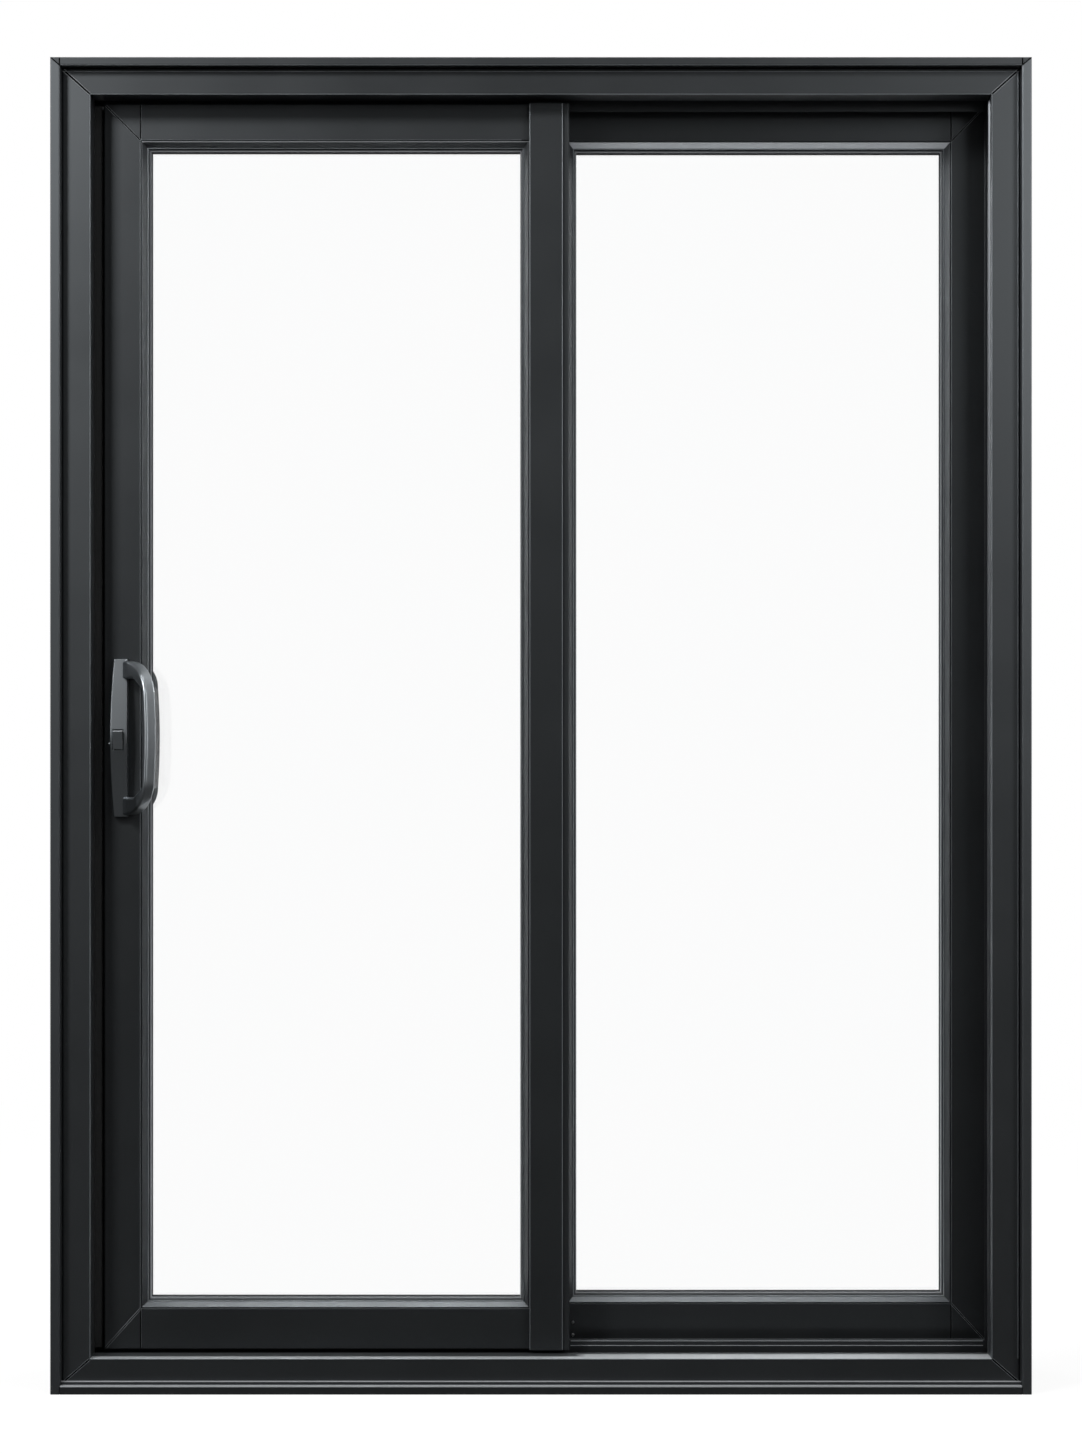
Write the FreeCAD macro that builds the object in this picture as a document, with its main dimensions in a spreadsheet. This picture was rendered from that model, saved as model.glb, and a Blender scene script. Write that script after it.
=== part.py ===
"""Glass sliding patio door: a fixed panel and a sliding panel in one metal frame.

Millimetres. X runs to the right as seen from the room, Y runs from the room to the outside,
Z runs up. The origin is the middle of the sill's underside, half way through the frame's depth.
"""
import FreeCAD, Part
import math
import os
import re
import Sketcher

# Every driving dimension: its name in the sheet, its size in mm or degrees, and what it is
SIZES = [
    ("unit_width", 1515.0, "outer width over the side trims"),
    ("unit_height", 2064.0, "outer height from sill base to head trim"),
    ("frame_depth", 150.0, "depth of the frame members"),
    ("trim_wide", 15.0, "side trim, width of its face"),
    ("trim_tall", 13.0, "head and sill trim, height of the face"),
    ("trim_proud", 14.0, "how far the trims stand in front of the frame"),
    ("trim_edge", 1.5, "bevel along the trims' front edges"),
    ("ledge_deep", 7.0, "depth of the sill trim's upper step"),
    ("ledge_tall", 4.5, "height of the sill trim's upper step"),
    ("groove_wide", 3.0, "groove between trim and frame face"),
    ("groove_deep", 5.0, "depth of that groove"),
    ("jamb_lip", 59.5, "outer edge to the jamb's inner edge"),
    ("lip_round", 1.5, "rounding of the frame's inner front edges"),
    ("head_lip", 54.3, "outer edge to the head's inner edge"),
    ("sill_lip", 51.6, "base to the sill's inner edge"),
    ("lip_deep", 34.0, "depth of the frame's front chamber"),
    ("web", 22.0, "frame web at the sliding panel's channel"),
    ("sill_web", 30.0, "height of the sill's channel floor"),
    ("jamb_seat", 54.5, "outer edge to the seat of the fixed panel at the jamb"),
    ("head_seat", 51.2, "outer edge to the seat of the fixed panel at the head"),
    ("sill_seat", 58.4, "base to the seat of the fixed panel at the sill"),
    ("jamb_stop", 66.0, "outer edge to the outer stop behind the fixed panel"),
    ("drip", 6.0, "bevel on the sill's outer edge"),
    ("sash_thick", 39.0, "thickness of both panels"),
    ("sash_round", 0.9, "rounding of the panel members' front edges"),
    ("slide_set", 36.0, "frame face to the sliding panel's face"),
    ("sash_gap", 7.0, "gap between the two panels"),
    ("slide_side", 15.0, "gap from jamb edge to the closed panel's edge"),
    ("slide_over", 5.2, "gap above the sliding panel"),
    ("slide_under", 5.4, "gap below the sliding panel"),
    ("stile_wide", 56.5, "lock stile, width of its face"),
    ("top_rail", 56.5, "sliding panel's top rail, height of its face"),
    ("low_rail", 63.0, "sliding panel's bottom rail, height of its face"),
    ("meet_wide", 52.0, "sliding meeting stile, width of its face"),
    ("meet_right", 34.0, "middle line to that stile's right edge"),
    ("meet_proud", 9.0, "how far that stile stands in front of the rails"),
    ("nose_wide", 10.5, "width of the interlock nose on that stile"),
    ("nose_back", 2.5, "set back of the nose from the stile's face"),
    ("nose_bevel", 2.2, "bevel of the nose's front edge"),
    ("nose_notch", 4.4, "depth of the notch behind the nose"),
    ("nose_foot", 8.0, "length of the nose's foot at the panel's back"),
    ("fixed_left", 15.5, "middle line to the fixed panel's left edge"),
    ("fixed_meet", 57.0, "fixed meeting stile, width of its face"),
    ("fixed_stile", 53.0, "fixed jamb stile, width of its face"),
    ("fixed_top", 54.7, "fixed panel's top rail, height of its face"),
    ("fixed_low", 57.8, "fixed panel's bottom rail, height of its face"),
    ("hook_wide", 8.0, "width of the fixed stile's interlock"),
    ("hook_fin", 2.0, "thickness of the interlock's fin and the sill retainer"),
    ("retainer_tall", 2.3, "how far the retainer covers the fixed panel"),
    ("bead_wide", 12.5, "glazing bead, width"),
    ("bead_set", 0.6, "bead's outer edge behind the panel's face"),
    ("bead_groove", 0.9, "groove between bead and member"),
    ("groove_fall", 3.0, "depth of that groove"),
    ("bead_round", 1.2, "rounding of the bead's front edge"),
    ("bead_slope", 9.0, "fall of the bead's front towards the glass"),
    ("rim_start", 9.2, "member's edge to the flat rim beside the glass"),
    ("rim_wide", 1.5, "width of that rim"),
    ("rim_step", 3.0, "the glazing ledge in front of the glass"),
    ("glass_set", 16.0, "panel face to the glass"),
    ("pane", 4.0, "thickness of one sheet of glass"),
    ("spacer", 7.0, "space between the two sheets"),
    ("spacer_wide", 6.0, "width of the spacer bar"),
    ("glass_gap", 3.0, "gap round the glass edge"),
    ("guide_thick", 2.0, "thickness of the head guide's fin"),
    ("guide_bite", 6.5, "how far the fin reaches into the top rail"),
    ("guide_foot", 12.0, "width of the guide's and track's foot"),
    ("foot_thick", 3.0, "thickness of that foot"),
    ("guide_room", 5.0, "clearance on each side of the fin"),
    ("guide_slot", 14.0, "depth of the slot in the top rail"),
    ("track_thick", 3.0, "thickness of the sill track"),
    ("track_bite", 9.0, "how far the track reaches into the bottom rail"),
    ("track_room", 5.5, "clearance on each side of the track"),
    ("track_over", 5.0, "clearance over the track where no roller runs"),
    ("roller_slot", 34.0, "depth of the roller slot in the bottom rail"),
    ("roller_round", 11.0, "radius of a roller"),
    ("roller_wide", 6.0, "width of a roller"),
    ("roller_gap", 0.3, "running gap between roller and track"),
    ("roller_in", 110.0, "panel edge to a roller's axle"),
    ("axle_round", 3.0, "radius of an axle"),
    ("seal_front", 41.0, "frame face to the jamb seal"),
    ("seal_deep", 28.0, "depth of the jamb seal"),
    ("seal_lip", 8.0, "length of the seal's lips"),
    ("seal_thick", 3.0, "thickness of the seal's lips"),
    ("seal_room", 5.0, "gap from the seal's lips to the closed panel"),
    ("end_gap", 0.5, "gap between the seal and the ends of guide and track"),
    ("strip_front", 11.0, "frame face to the jamb strip"),
    ("strip_wide", 7.0, "width of the jamb strip"),
    ("strip_proud", 2.5, "height of the jamb strip"),
    ("strip_slope", 1.75, "width of the slope along each of its edges"),
    ("strip_end", 6.5, "gap from the strip's ends to sill and head"),
    ("handle_mid", 1012.9, "height of the handle's middle"),
    ("handle_long", 247.0, "length of the handle plate"),
    ("plate_left", 16.5, "panel edge to the plate's straight left end"),
    ("plate_wide", 21.0, "width of the handle plate at its ends"),
    ("plate_bulge", 5.5, "swell of the plate's left edge"),
    ("plate_thick", 14.0, "thickness of the handle plate at its crest"),
    ("plate_end", 9.0, "thickness of the plate at its ends"),
    ("crest_half", 13.0, "half length of the plate's rounded crest"),
    ("crest_rise", 0.3, "height of that rounding"),
    ("plate_edge", 1.0, "bevel of the plate's front edges"),
    ("pull_shift", 5.0, "middle of the plate to the root of the pull's plane"),
    ("pull_turn", 48.0, "turn of the pull away from the panel"),
    ("pull_out", 75.5, "plate to the pull's outer edge, along its slant"),
    ("back_out", 55.0, "outer plate to the outer pull's outer edge, along its slant"),
    ("pull_thick", 13.5, "thickness of the pull's bar in its own plane"),
    ("pull_wide", 20.0, "width of the pull across its plane"),
    ("pull_edge", 4.0, "rounding of the pull's long edges"),
    ("pull_start", 0.5, "clearance of the pull's root from the panel"),
    ("pull_knee", 67.0, "handle's middle to the ends of the bar's long curve"),
    ("back_knee", 84.0, "the same on the outer pull"),
    ("knee_lean", 5.0, "lean of that curve at its ends, in degrees"),
    ("elbow_share", 0.17, "part of the way to the bar where the pull's corner starts"),
    ("elbow_fall", 5.0, "slope of the pull's ends before the corner, in degrees"),
    ("foot_tall", 28.0, "height of the pull's feet"),
    ("inner_run", 24.5, "reach of the slant between a foot and the bar's inner edge"),
    ("inner_fall", 16.0, "height of that slant"),
    ("latch_drop", 8.9, "handle's middle down to the thumb latch's pin"),
    ("latch_in", 7.0, "plate's left end to the middle of the latch"),
    ("latch_wide", 15.0, "width of the thumb latch"),
    ("latch_over", 21.3, "thumb latch above its pin"),
    ("latch_under", 9.0, "thumb latch below its pin"),
    ("latch_proud", 4.0, "how far the latch's ledge stands out of the plate"),
    ("latch_slope", 2.2, "fall of the ledge's top towards its front"),
    ("latch_toe", 0.6, "how far its lower end stands out"),
    ("latch_room", 1.0, "gap beside and below the thumb latch"),
    ("latch_swing", 1.0, "gap above the thumb latch, for its swing"),
    ("pin_round", 2.5, "radius of the latch's pin"),
    ("pin_fit", 0.05, "clearance round the latch's pin"),
    ("pin_deep", 2.5, "how far the pin runs into the plate's right side"),
    ("pin_past", 2.5, "how far the pin's end stands past the plate"),
    ("face_tall", 180.0, "length of the lock's faceplate"),
    ("face_wide", 22.0, "width of the lock's faceplate"),
    ("face_thick", 2.5, "thickness of the lock's faceplate"),
    ("keeper_tall", 110.0, "length of the keeper"),
    ("keeper_thick", 4.0, "thickness of the keeper"),
    ("keeper_slot", 9.0, "width of the keeper's slot"),
    ("slot_tall", 55.0, "height of the keeper's slot"),
    ("bolt_wide", 5.5, "width of the slot in the faceplate"),
    ("bolt_tall", 45.0, "height of the slot in the faceplate"),
]

doc = FreeCAD.newDocument("patio_door")
sheet = doc.addObject("Spreadsheet::Sheet", "Sizes")
for row, (alias, size, meaning) in enumerate(SIZES, start=1):
    sheet.set(f"A{row}", meaning)
    sheet.set(f"B{row}", str(size))
    sheet.setAlias(f"B{row}", alias)
doc.recompute()

parts = []
NEAR = 0.1       # how near, in mm, a place counts as reached
CUT_LEAST = 0.01  # the least volume, in cubic mm, that a cut has to take away


def bound(text):
    """Turn plain size names into references to the sheet."""
    maths = ("sqrt", "abs", "sin", "cos", "tan", "deg")
    return re.sub(r"[a-z]\w*", lambda word: word[0] if word[0] in maths else "Sizes." + word[0], text)


def number(text):
    """The present value of an expression in the sheet's names."""
    return float(sheet.evalExpression(bound(text)))


def new_body(name, place):
    """A body with its own label, placed by three expressions."""
    body = doc.addObject("PartDesign::Body", name)
    body.Label = name
    for axis, text in zip("xyz", place):
        body.setExpression(f".Placement.Base.{axis}", bound(text))
    parts.append(body)
    return body


def tie(sketch, kind, index, end, text):
    """Hold one end of a line at a distance from the sketch's origin."""
    if text == "0":
        axis = -2 if kind == "DistanceX" else -1
        sketch.addConstraint(Sketcher.Constraint("PointOnObject", index, end, axis))
        return
    made = sketch.addConstraint(Sketcher.Constraint(kind, -1, 1, index, end, number(text)))
    sketch.setExpression(f"Constraints[{made}]", bound(text))


def outline(body, name, role, points, shift="0", swing=0):
    """A closed outline of lines and arcs on one of the body's own planes.

    A point is (across, up) or (across, up, bulge): the bulge is the height of the arc that
    leads to the next point, to the right of the way there, or to the left if negative. Shift
    moves the plane along X, and a swing of 1 or -1 turns it by pull_turn round its upright axis.
    """
    plane = [feature for feature in body.Origin.OriginFeatures if feature.Role == role][0]
    sketch = body.newObject("Sketcher::SketchObject", name)
    sketch.AttachmentSupport = [(plane, "")]
    sketch.MapMode = "FlatFace"
    if swing:
        around = FreeCAD.Rotation(FreeCAD.Vector(0, swing, 0), number("pull_turn"))
        sketch.AttachmentOffset = FreeCAD.Placement(FreeCAD.Vector(0, 0, 0), around)
        sketch.setExpression(".AttachmentOffset.Rotation.Angle", bound("pull_turn"))
    if shift != "0":
        along = "x" if role == "XZ_Plane" else "z"
        sketch.setExpression(f".AttachmentOffset.Base.{along}", bound(shift))
    corners = [FreeCAD.Vector(number(point[0]), number(point[1]), 0) for point in points]
    count = len(points)
    ends = []
    for index in range(count):
        start = corners[index]
        finish = corners[(index + 1) % count]
        if len(points[index]) == 2:
            sketch.addGeometry(Part.LineSegment(start, finish), False)
            ends.append((1, 2))
            continue
        bulge = number(points[index][2])
        radius = ((finish - start).Length**2 / 4 + bulge**2) / (2 * abs(bulge))
        way = (finish - start).normalize()
        inward = FreeCAD.Vector(-way.y, way.x, 0) * (1 if bulge > 0 else -1)
        middle = (start + finish) * 0.5 + inward * (radius - abs(bulge))
        first, last = (start, finish) if bulge > 0 else (finish, start)
        angles = [math.atan2(point.y - middle.y, point.x - middle.x) for point in (first, last)]
        ring = Part.Circle(middle, FreeCAD.Vector(0, 0, 1), radius)
        sketch.addGeometry(Part.ArcOfCircle(ring, *angles), False)
        ends.append((1, 2) if bulge > 0 else (2, 1))
    for index in range(count):
        follow = (index + 1) % count
        sketch.addConstraint(
            Sketcher.Constraint("Coincident", index, ends[index][1], follow, ends[follow][0]))
    for index in range(count):
        tie(sketch, "DistanceX", index, ends[index][0], points[index][0])
        tie(sketch, "DistanceY", index, ends[index][0], points[index][1])
    for index in range(count):
        if len(points[index]) == 3:
            after = points[(index + 1) % count]
            wide = f"(({after[0]}) - ({points[index][0]}))"
            tall = f"(({after[1]}) - ({points[index][1]}))"
            high = f"abs({points[index][2]})"
            radius = f"(({wide}^2 + {tall}^2)/4 + {high}^2) / (2*{high})"
            made = sketch.addConstraint(Sketcher.Constraint("Radius", index, number(radius)))
            sketch.setExpression(f"Constraints[{made}]", bound(radius))
    return sketch


def pad(body, name, role, points, length, backward=False, both=False, shift="0"):
    """Draw an outline and give it a length."""
    feature = body.newObject("PartDesign::Pad", name)
    feature.Profile = outline(body, name + "_outline", role, points, shift)
    feature.setExpression("Length", bound(length))
    feature.Reversed = backward
    if both:
        feature.SideType = "Symmetric"
    doc.recompute()
    return feature


def cut(body, name, role, points, deep=None, backward=False):
    """Cut an outline right through the body or to a depth, and see that it took something away."""
    before = body.Shape.Volume
    feature = body.newObject("PartDesign::Pocket", name)
    feature.Profile = outline(body, name + "_outline", role, points)
    if deep is None:
        feature.Type = "ThroughAll"
        feature.SideType = "Symmetric"
    else:
        feature.setExpression("Length", bound(deep))
        feature.Reversed = backward
    doc.recompute()
    if body.Shape.Volume > before - CUT_LEAST:
        raise RuntimeError(name + " cuts nothing")
    return feature


def box_points(left, low, right, high):
    """The four corners of a rectangle."""
    return [(left, low), (right, low), (right, high), (left, high)]


def edge_names(feature, test):
    """The names of a feature's edges whose middle passes a test."""
    found = []
    for index, edge in enumerate(feature.Shape.Edges, start=1):
        if test(edge.BoundBox.Center, edge):
            found.append(f"Edge{index}")
    return found


def round_edges(body, name, feature, test, radius):
    """Round the edges that pass a test."""
    fillet = body.newObject("PartDesign::Fillet", name)
    fillet.Base = (feature, edge_names(feature, test))
    fillet.setExpression("Radius", bound(radius))
    doc.recompute()


def bevel_edges(body, name, feature, test, size):
    """Bevel the edges that pass a test."""
    bevel = body.newObject("PartDesign::Chamfer", name)
    bevel.Base = (feature, edge_names(feature, test))
    bevel.setExpression("Size", bound(size))
    doc.recompute()


def section_points(section, upright_member, side):
    """A section's points on the member's own plane; each mirroring turns its arcs over."""
    points = []
    for across, deep, *bulge in section:
        if side == -1 and across != "0":
            across = f"-({across})"
        point = (across, deep) if upright_member else (deep, across)
        if bulge:
            point += (bulge[0] if upright_member == (side == 1) else f"-({bulge[0]})",)
        points.append(point)
    return points


def upright(name, section, length, place, side=1):
    """A vertical member. Its section is (inward, backward); side -1 turns inward to -X."""
    body = new_body(name, place)
    pad(body, name + "_bar", "XY_Plane", section_points(section, True, side), length)
    return body


def level(name, section, length, place, side=1):
    """A horizontal member. Its section is (inward, backward); side -1 turns inward to -Z."""
    body = new_body(name, place)
    pad(body, name + "_bar", "YZ_Plane", section_points(section, False, side), length)
    return body


def mitre_upright(body, end, length, wide, tall, side=1):
    """Cut one end of a vertical member on the slant that runs wide across and tall along."""
    far = f"2*({wide})" if side == 1 else f"-2*({wide})"
    if end == "top":
        points = [("0", length), (far, length), (far, f"({length}) - 2*({tall})")]
    else:
        points = [("0", "0"), (far, "0"), (far, f"2*({tall})")]
    cut(body, f"{body.Name}_mitre_{end}", "XZ_Plane", points)


def mitre_level(body, end, length, wide, tall, side=1):
    """Cut one end of a horizontal member on the slant that runs wide along and tall across."""
    far = f"2*({tall})" if side == 1 else f"-2*({tall})"
    if end == "left":
        points = [("0", "0"), (f"2*({wide})", far), ("0", far)]
    else:
        points = [(length, "0"), (f"({length}) - 2*({wide})", far), (length, far)]
    cut(body, f"{body.Name}_mitre_{end}", "XZ_Plane", points)


# Places that several pieces share
half = "(unit_width/2)"
front = "(-frame_depth/2)"
slide_face = f"({front} + slide_set)"
fixed_set = "(slide_set + sash_thick + sash_gap)"
fixed_face = f"({front} + {fixed_set})"
slide_left = f"(jamb_lip + slide_side - {half})"
seal_reach = "(jamb_lip + slide_side - seal_room)"
slide_low = "(sill_lip + slide_under)"
slide_high = "(unit_height - head_lip - slide_over)"
fixed_right = f"({half} - jamb_seat)"
fixed_high = "(unit_height - head_seat)"
slide_middle = f"({slide_face} + sash_thick/2)"
glass_deep = "(2*pane + spacer)"
slide_wide = f"(meet_right - {slide_left})"
slide_tall = f"({slide_high} - {slide_low})"
fixed_wide = f"({fixed_right} + fixed_left)"
fixed_tall = f"({fixed_high} - sill_seat)"


def quarter(radius):
    """The height of a quarter circle's arc over its chord."""
    return f"{radius}*(1 - sqrt(0.5))"


def frame_section(lip, floor, seat, stop, bevel="0"):
    """One frame member: a front chamber, the panel channel, the fixed seat and the outer stop."""
    points = [
        ("0", "0"),
        ("trim_wide" if lip == "jamb_lip" else "trim_tall", "0"),
    ]
    edge = points[1][0]
    points += [
        (edge, "groove_deep"),
        (f"{edge} + groove_wide", "groove_deep"),
        (f"{edge} + groove_wide", "0"),
        (f"{lip} - lip_round", "0", quarter("lip_round")),
        (lip, "lip_round"),
        (lip, "lip_deep"),
        (floor, "lip_deep"),
        (floor, f"{fixed_set} - hook_fin"),
        (seat, f"{fixed_set} - hook_fin"),
        (seat, f"{fixed_set} + sash_thick"),
        (stop, f"{fixed_set} + sash_thick"),
    ]
    if bevel == "0":
        points.append((stop, "frame_depth"))
    else:
        points.append((stop, f"frame_depth - {bevel}"))
        points.append((f"{stop} - {bevel}", "frame_depth"))
    points.append(("0", "frame_depth"))
    return points


def make_frame():
    """The two jambs, the head and the sill, mitred at the corners."""
    jamb = frame_section("jamb_lip", "web", "jamb_seat", "jamb_stop")
    for name, side in (("left_jamb", 1), ("right_jamb", -1)):
        place = (f"-{side}*{half}", front, "0")
        body = upright(name, jamb, "unit_height", place, side)
        mitre_upright(body, "top", "unit_height", "jamb_lip", "head_lip", side)
        mitre_upright(body, "bottom", "unit_height", "jamb_lip", "sill_lip", side)
    head_stop = "jamb_stop*head_lip/jamb_lip"
    head = frame_section("head_lip", "web", "head_seat", head_stop)
    body = level("head_frame", head, "unit_width", (f"-{half}", front, "unit_height"), -1)
    mitre_level(body, "left", "unit_width", "jamb_lip", "head_lip", -1)
    mitre_level(body, "right", "unit_width", "jamb_lip", "head_lip", -1)
    sill_stop = "jamb_stop*sill_lip/jamb_lip"
    sill = frame_section("sill_lip", "sill_web", "sill_seat", sill_stop, "drip")
    body = level("sill_frame", sill, "unit_width", (f"-{half}", front, "0"), 1)
    mitre_level(body, "left", "unit_width", "jamb_lip", "sill_lip", 1)
    mitre_level(body, "right", "unit_width", "jamb_lip", "sill_lip", 1)


def trim_section(wide):
    """A flat trim with a bevel along its two front edges."""
    return [
        ("0", "trim_edge"),
        ("trim_edge", "0"),
        (f"{wide} - trim_edge", "0"),
        (wide, "trim_edge"),
        (wide, "trim_proud"),
        ("0", "trim_proud"),
    ]


def make_trims():
    """The trims that stand in front of the frame along its outer edge."""
    face = f"{front} - trim_proud"
    for name, side in (("left_trim", 1), ("right_trim", -1)):
        body = upright(name, trim_section("trim_wide"), "unit_height", (f"-{side}*{half}", face, "0"), side)
        mitre_upright(body, "top", "unit_height", "trim_wide", "trim_tall", side)
    body = level("head_trim", trim_section("trim_tall"), "unit_width", (f"-{half}", face, "unit_height"), -1)
    mitre_level(body, "left", "unit_width", "trim_wide", "trim_tall", -1)
    mitre_level(body, "right", "unit_width", "trim_wide", "trim_tall", -1)
    stepped = [
        ("0", "0"),
        ("trim_tall - trim_edge", "0"),
        ("trim_tall", "trim_edge"),
        ("trim_tall", "trim_proud - ledge_deep"),
        ("trim_tall + ledge_tall", "trim_proud - ledge_deep"),
        ("trim_tall + ledge_tall", "trim_proud"),
        ("0", "trim_proud"),
    ]
    place = (f"trim_wide - {half}", face, "0")
    level("sill_trim", stepped, "unit_width - 2*trim_wide", place, 1)


def make_running_gear():
    """The head guide and the sill track that keep the sliding panel upright."""
    between = "unit_width - 2*jamb_lip - slide_side + seal_room - end_gap"
    left = f"{seal_reach} + end_gap - {half}"
    tee = [
        ("0", "-guide_foot/2"),
        ("0", "guide_foot/2"),
        ("foot_thick", "guide_foot/2"),
        ("foot_thick", "guide_thick/2"),
        ("head_lip + slide_over + guide_bite - web", "guide_thick/2"),
        ("head_lip + slide_over + guide_bite - web", "-guide_thick/2"),
        ("foot_thick", "-guide_thick/2"),
        ("foot_thick", "-guide_foot/2"),
    ]
    level("head_guide", tee, between, (left, slide_middle, "unit_height - web"), -1)
    high = f"{slide_low} + track_bite - sill_web"
    tee = [
        ("0", "-guide_foot/2"),
        ("0", "guide_foot/2"),
        ("foot_thick", "guide_foot/2"),
        ("foot_thick", "track_thick/2"),
        (high, "track_thick/2"),
        (high, "-track_thick/2"),
        ("foot_thick", "-track_thick/2"),
        ("foot_thick", "-guide_foot/2"),
    ]
    level("sill_track", tee, between, (left, slide_middle, "sill_web"), 1)


def make_jamb_strips():
    """The seal that the panel closes towards, its keeper, and the strip on the other jamb."""
    seal = [
        ("web", "seal_front"),
        (seal_reach, "seal_front"),
        (seal_reach, "seal_front + seal_thick"),
        (f"{seal_reach} - seal_lip", "seal_front + seal_thick"),
        (f"{seal_reach} - seal_lip", "seal_front + seal_deep - seal_thick"),
        (seal_reach, "seal_front + seal_deep - seal_thick"),
        (seal_reach, "seal_front + seal_deep"),
        ("web", "seal_front + seal_deep"),
    ]
    tall = "unit_height - sill_lip - head_lip - 2*strip_end"
    upright("left_jamb_seal", seal, tall, (f"-{half}", front, "sill_lip + strip_end"), 1)
    keeper = [
        (f"{seal_reach} - seal_lip", "seal_front + seal_thick"),
        (f"{seal_reach} - seal_lip + keeper_thick", "seal_front + seal_thick"),
        (f"{seal_reach} - seal_lip + keeper_thick", "seal_front + seal_deep - seal_thick"),
        (f"{seal_reach} - seal_lip", "seal_front + seal_deep - seal_thick"),
    ]
    body = upright("keeper", keeper, "keeper_tall", (f"-{half}", front, "handle_mid - keeper_tall/2"), 1)
    slot = box_points("seal_front + seal_deep/2 - keeper_slot/2", "keeper_tall/2 - slot_tall/2",
                      "seal_front + seal_deep/2 + keeper_slot/2", "keeper_tall/2 + slot_tall/2")
    cut(body, "keeper_slot", "YZ_Plane", slot)
    strip = [
        ("jamb_lip", "strip_front"),
        ("jamb_lip + strip_proud", "strip_front + strip_slope"),
        ("jamb_lip + strip_proud", "strip_front + strip_wide - strip_slope"),
        ("jamb_lip", "strip_front + strip_wide"),
    ]
    upright("right_jamb_strip", strip, tall, (half, front, "sill_lip + strip_end"), -1)
    guard = [
        ("0", "0"),
        ("retainer_tall", "0"),
        ("retainer_tall", "hook_fin"),
        ("0", "hook_fin"),
    ]
    level("fixed_sill_retainer", guard, fixed_wide,
          ("-fixed_left", f"{fixed_face} - hook_fin", "sill_seat"), 1)


def sash_section(wide, proud="0"):
    """A panel member: a box with a flange behind the glass."""
    start = "0" if proud == "0" else f"-{proud}"
    return [
        ("sash_round", start),
        (f"{wide} - sash_round", start, quarter("sash_round")),
        (wide, f"{start} + sash_round"),
        (wide, f"glass_set + {glass_deep}"),
        (f"{wide} + bead_wide", f"glass_set + {glass_deep}"),
        (f"{wide} + bead_wide", "sash_thick"),
        ("0", "sash_thick"),
        ("0", f"{start} + sash_round", quarter("sash_round")),
    ]


def bead_section():
    """A glazing bead: a groove beside the member, a slope to a rim, and a ledge at the glass."""
    fall = "bead_set + bead_slope"
    rim_end = "rim_start + rim_wide"
    return [
        ("0", "bead_set + groove_fall"),
        ("bead_groove", "bead_set + groove_fall"),
        ("bead_groove", "bead_set + bead_round", quarter("bead_round")),
        ("bead_groove + bead_round", "bead_set"),
        ("rim_start", fall),
        (rim_end, fall),
        (rim_end, "glass_set - rim_step"),
        ("bead_wide", "glass_set - rim_step"),
        ("bead_wide", "glass_set"),
        ("0", "glass_set"),
    ]


def make_beads(panel, left, low, wide, tall, face):
    """Four mitred beads round the glass of one panel; left and low are the opening's corner."""
    section = bead_section()
    high = f"{low} + {tall}"
    for name, side, start in (("left", 1, left), ("right", -1, f"{left} + {wide}")):
        body = upright(f"{panel}_{name}_bead", section, tall, (start, face, low), side)
        mitre_upright(body, "top", tall, "bead_wide", "bead_wide", side)
        mitre_upright(body, "bottom", tall, "bead_wide", "bead_wide", side)
    for name, side, start in (("low", 1, low), ("top", -1, high)):
        body = level(f"{panel}_{name}_bead", section, wide, (left, face, start), side)
        mitre_level(body, "left", wide, "bead_wide", "bead_wide", side)
        mitre_level(body, "right", wide, "bead_wide", "bead_wide", side)


def make_glass(panel, left, low, wide, tall, face):
    """Two sheets of glass and the spacer frame between them."""
    sheet_points = box_points("glass_gap", "glass_gap", f"{wide} - glass_gap", f"{tall} - glass_gap")
    for name, deep in (("front_pane", "glass_set"), ("back_pane", "glass_set + pane + spacer")):
        body = new_body(f"{panel}_{name}", (left, f"{face} + {deep}", low))
        pad(body, f"{panel}_{name}_sheet", "XZ_Plane", sheet_points, "pane", backward=True)
    body = new_body(f"{panel}_spacer", (left, f"{face} + glass_set + pane", low))
    pad(body, f"{panel}_spacer_sheet", "XZ_Plane", sheet_points, "spacer", backward=True)
    inset = "(glass_gap + spacer_wide)"
    hole = box_points(inset, inset, f"{wide} - {inset}", f"{tall} - {inset}")
    cut(body, f"{panel}_spacer_hole", "XZ_Plane", hole)


def slot_points(room, thick, low, high):
    """The end view of a slot along X, middled on the panel's thickness."""
    wide = f"({thick}/2 + {room})"
    return box_points(f"sash_thick/2 - {wide}", low, f"sash_thick/2 + {wide}", high)


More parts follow.
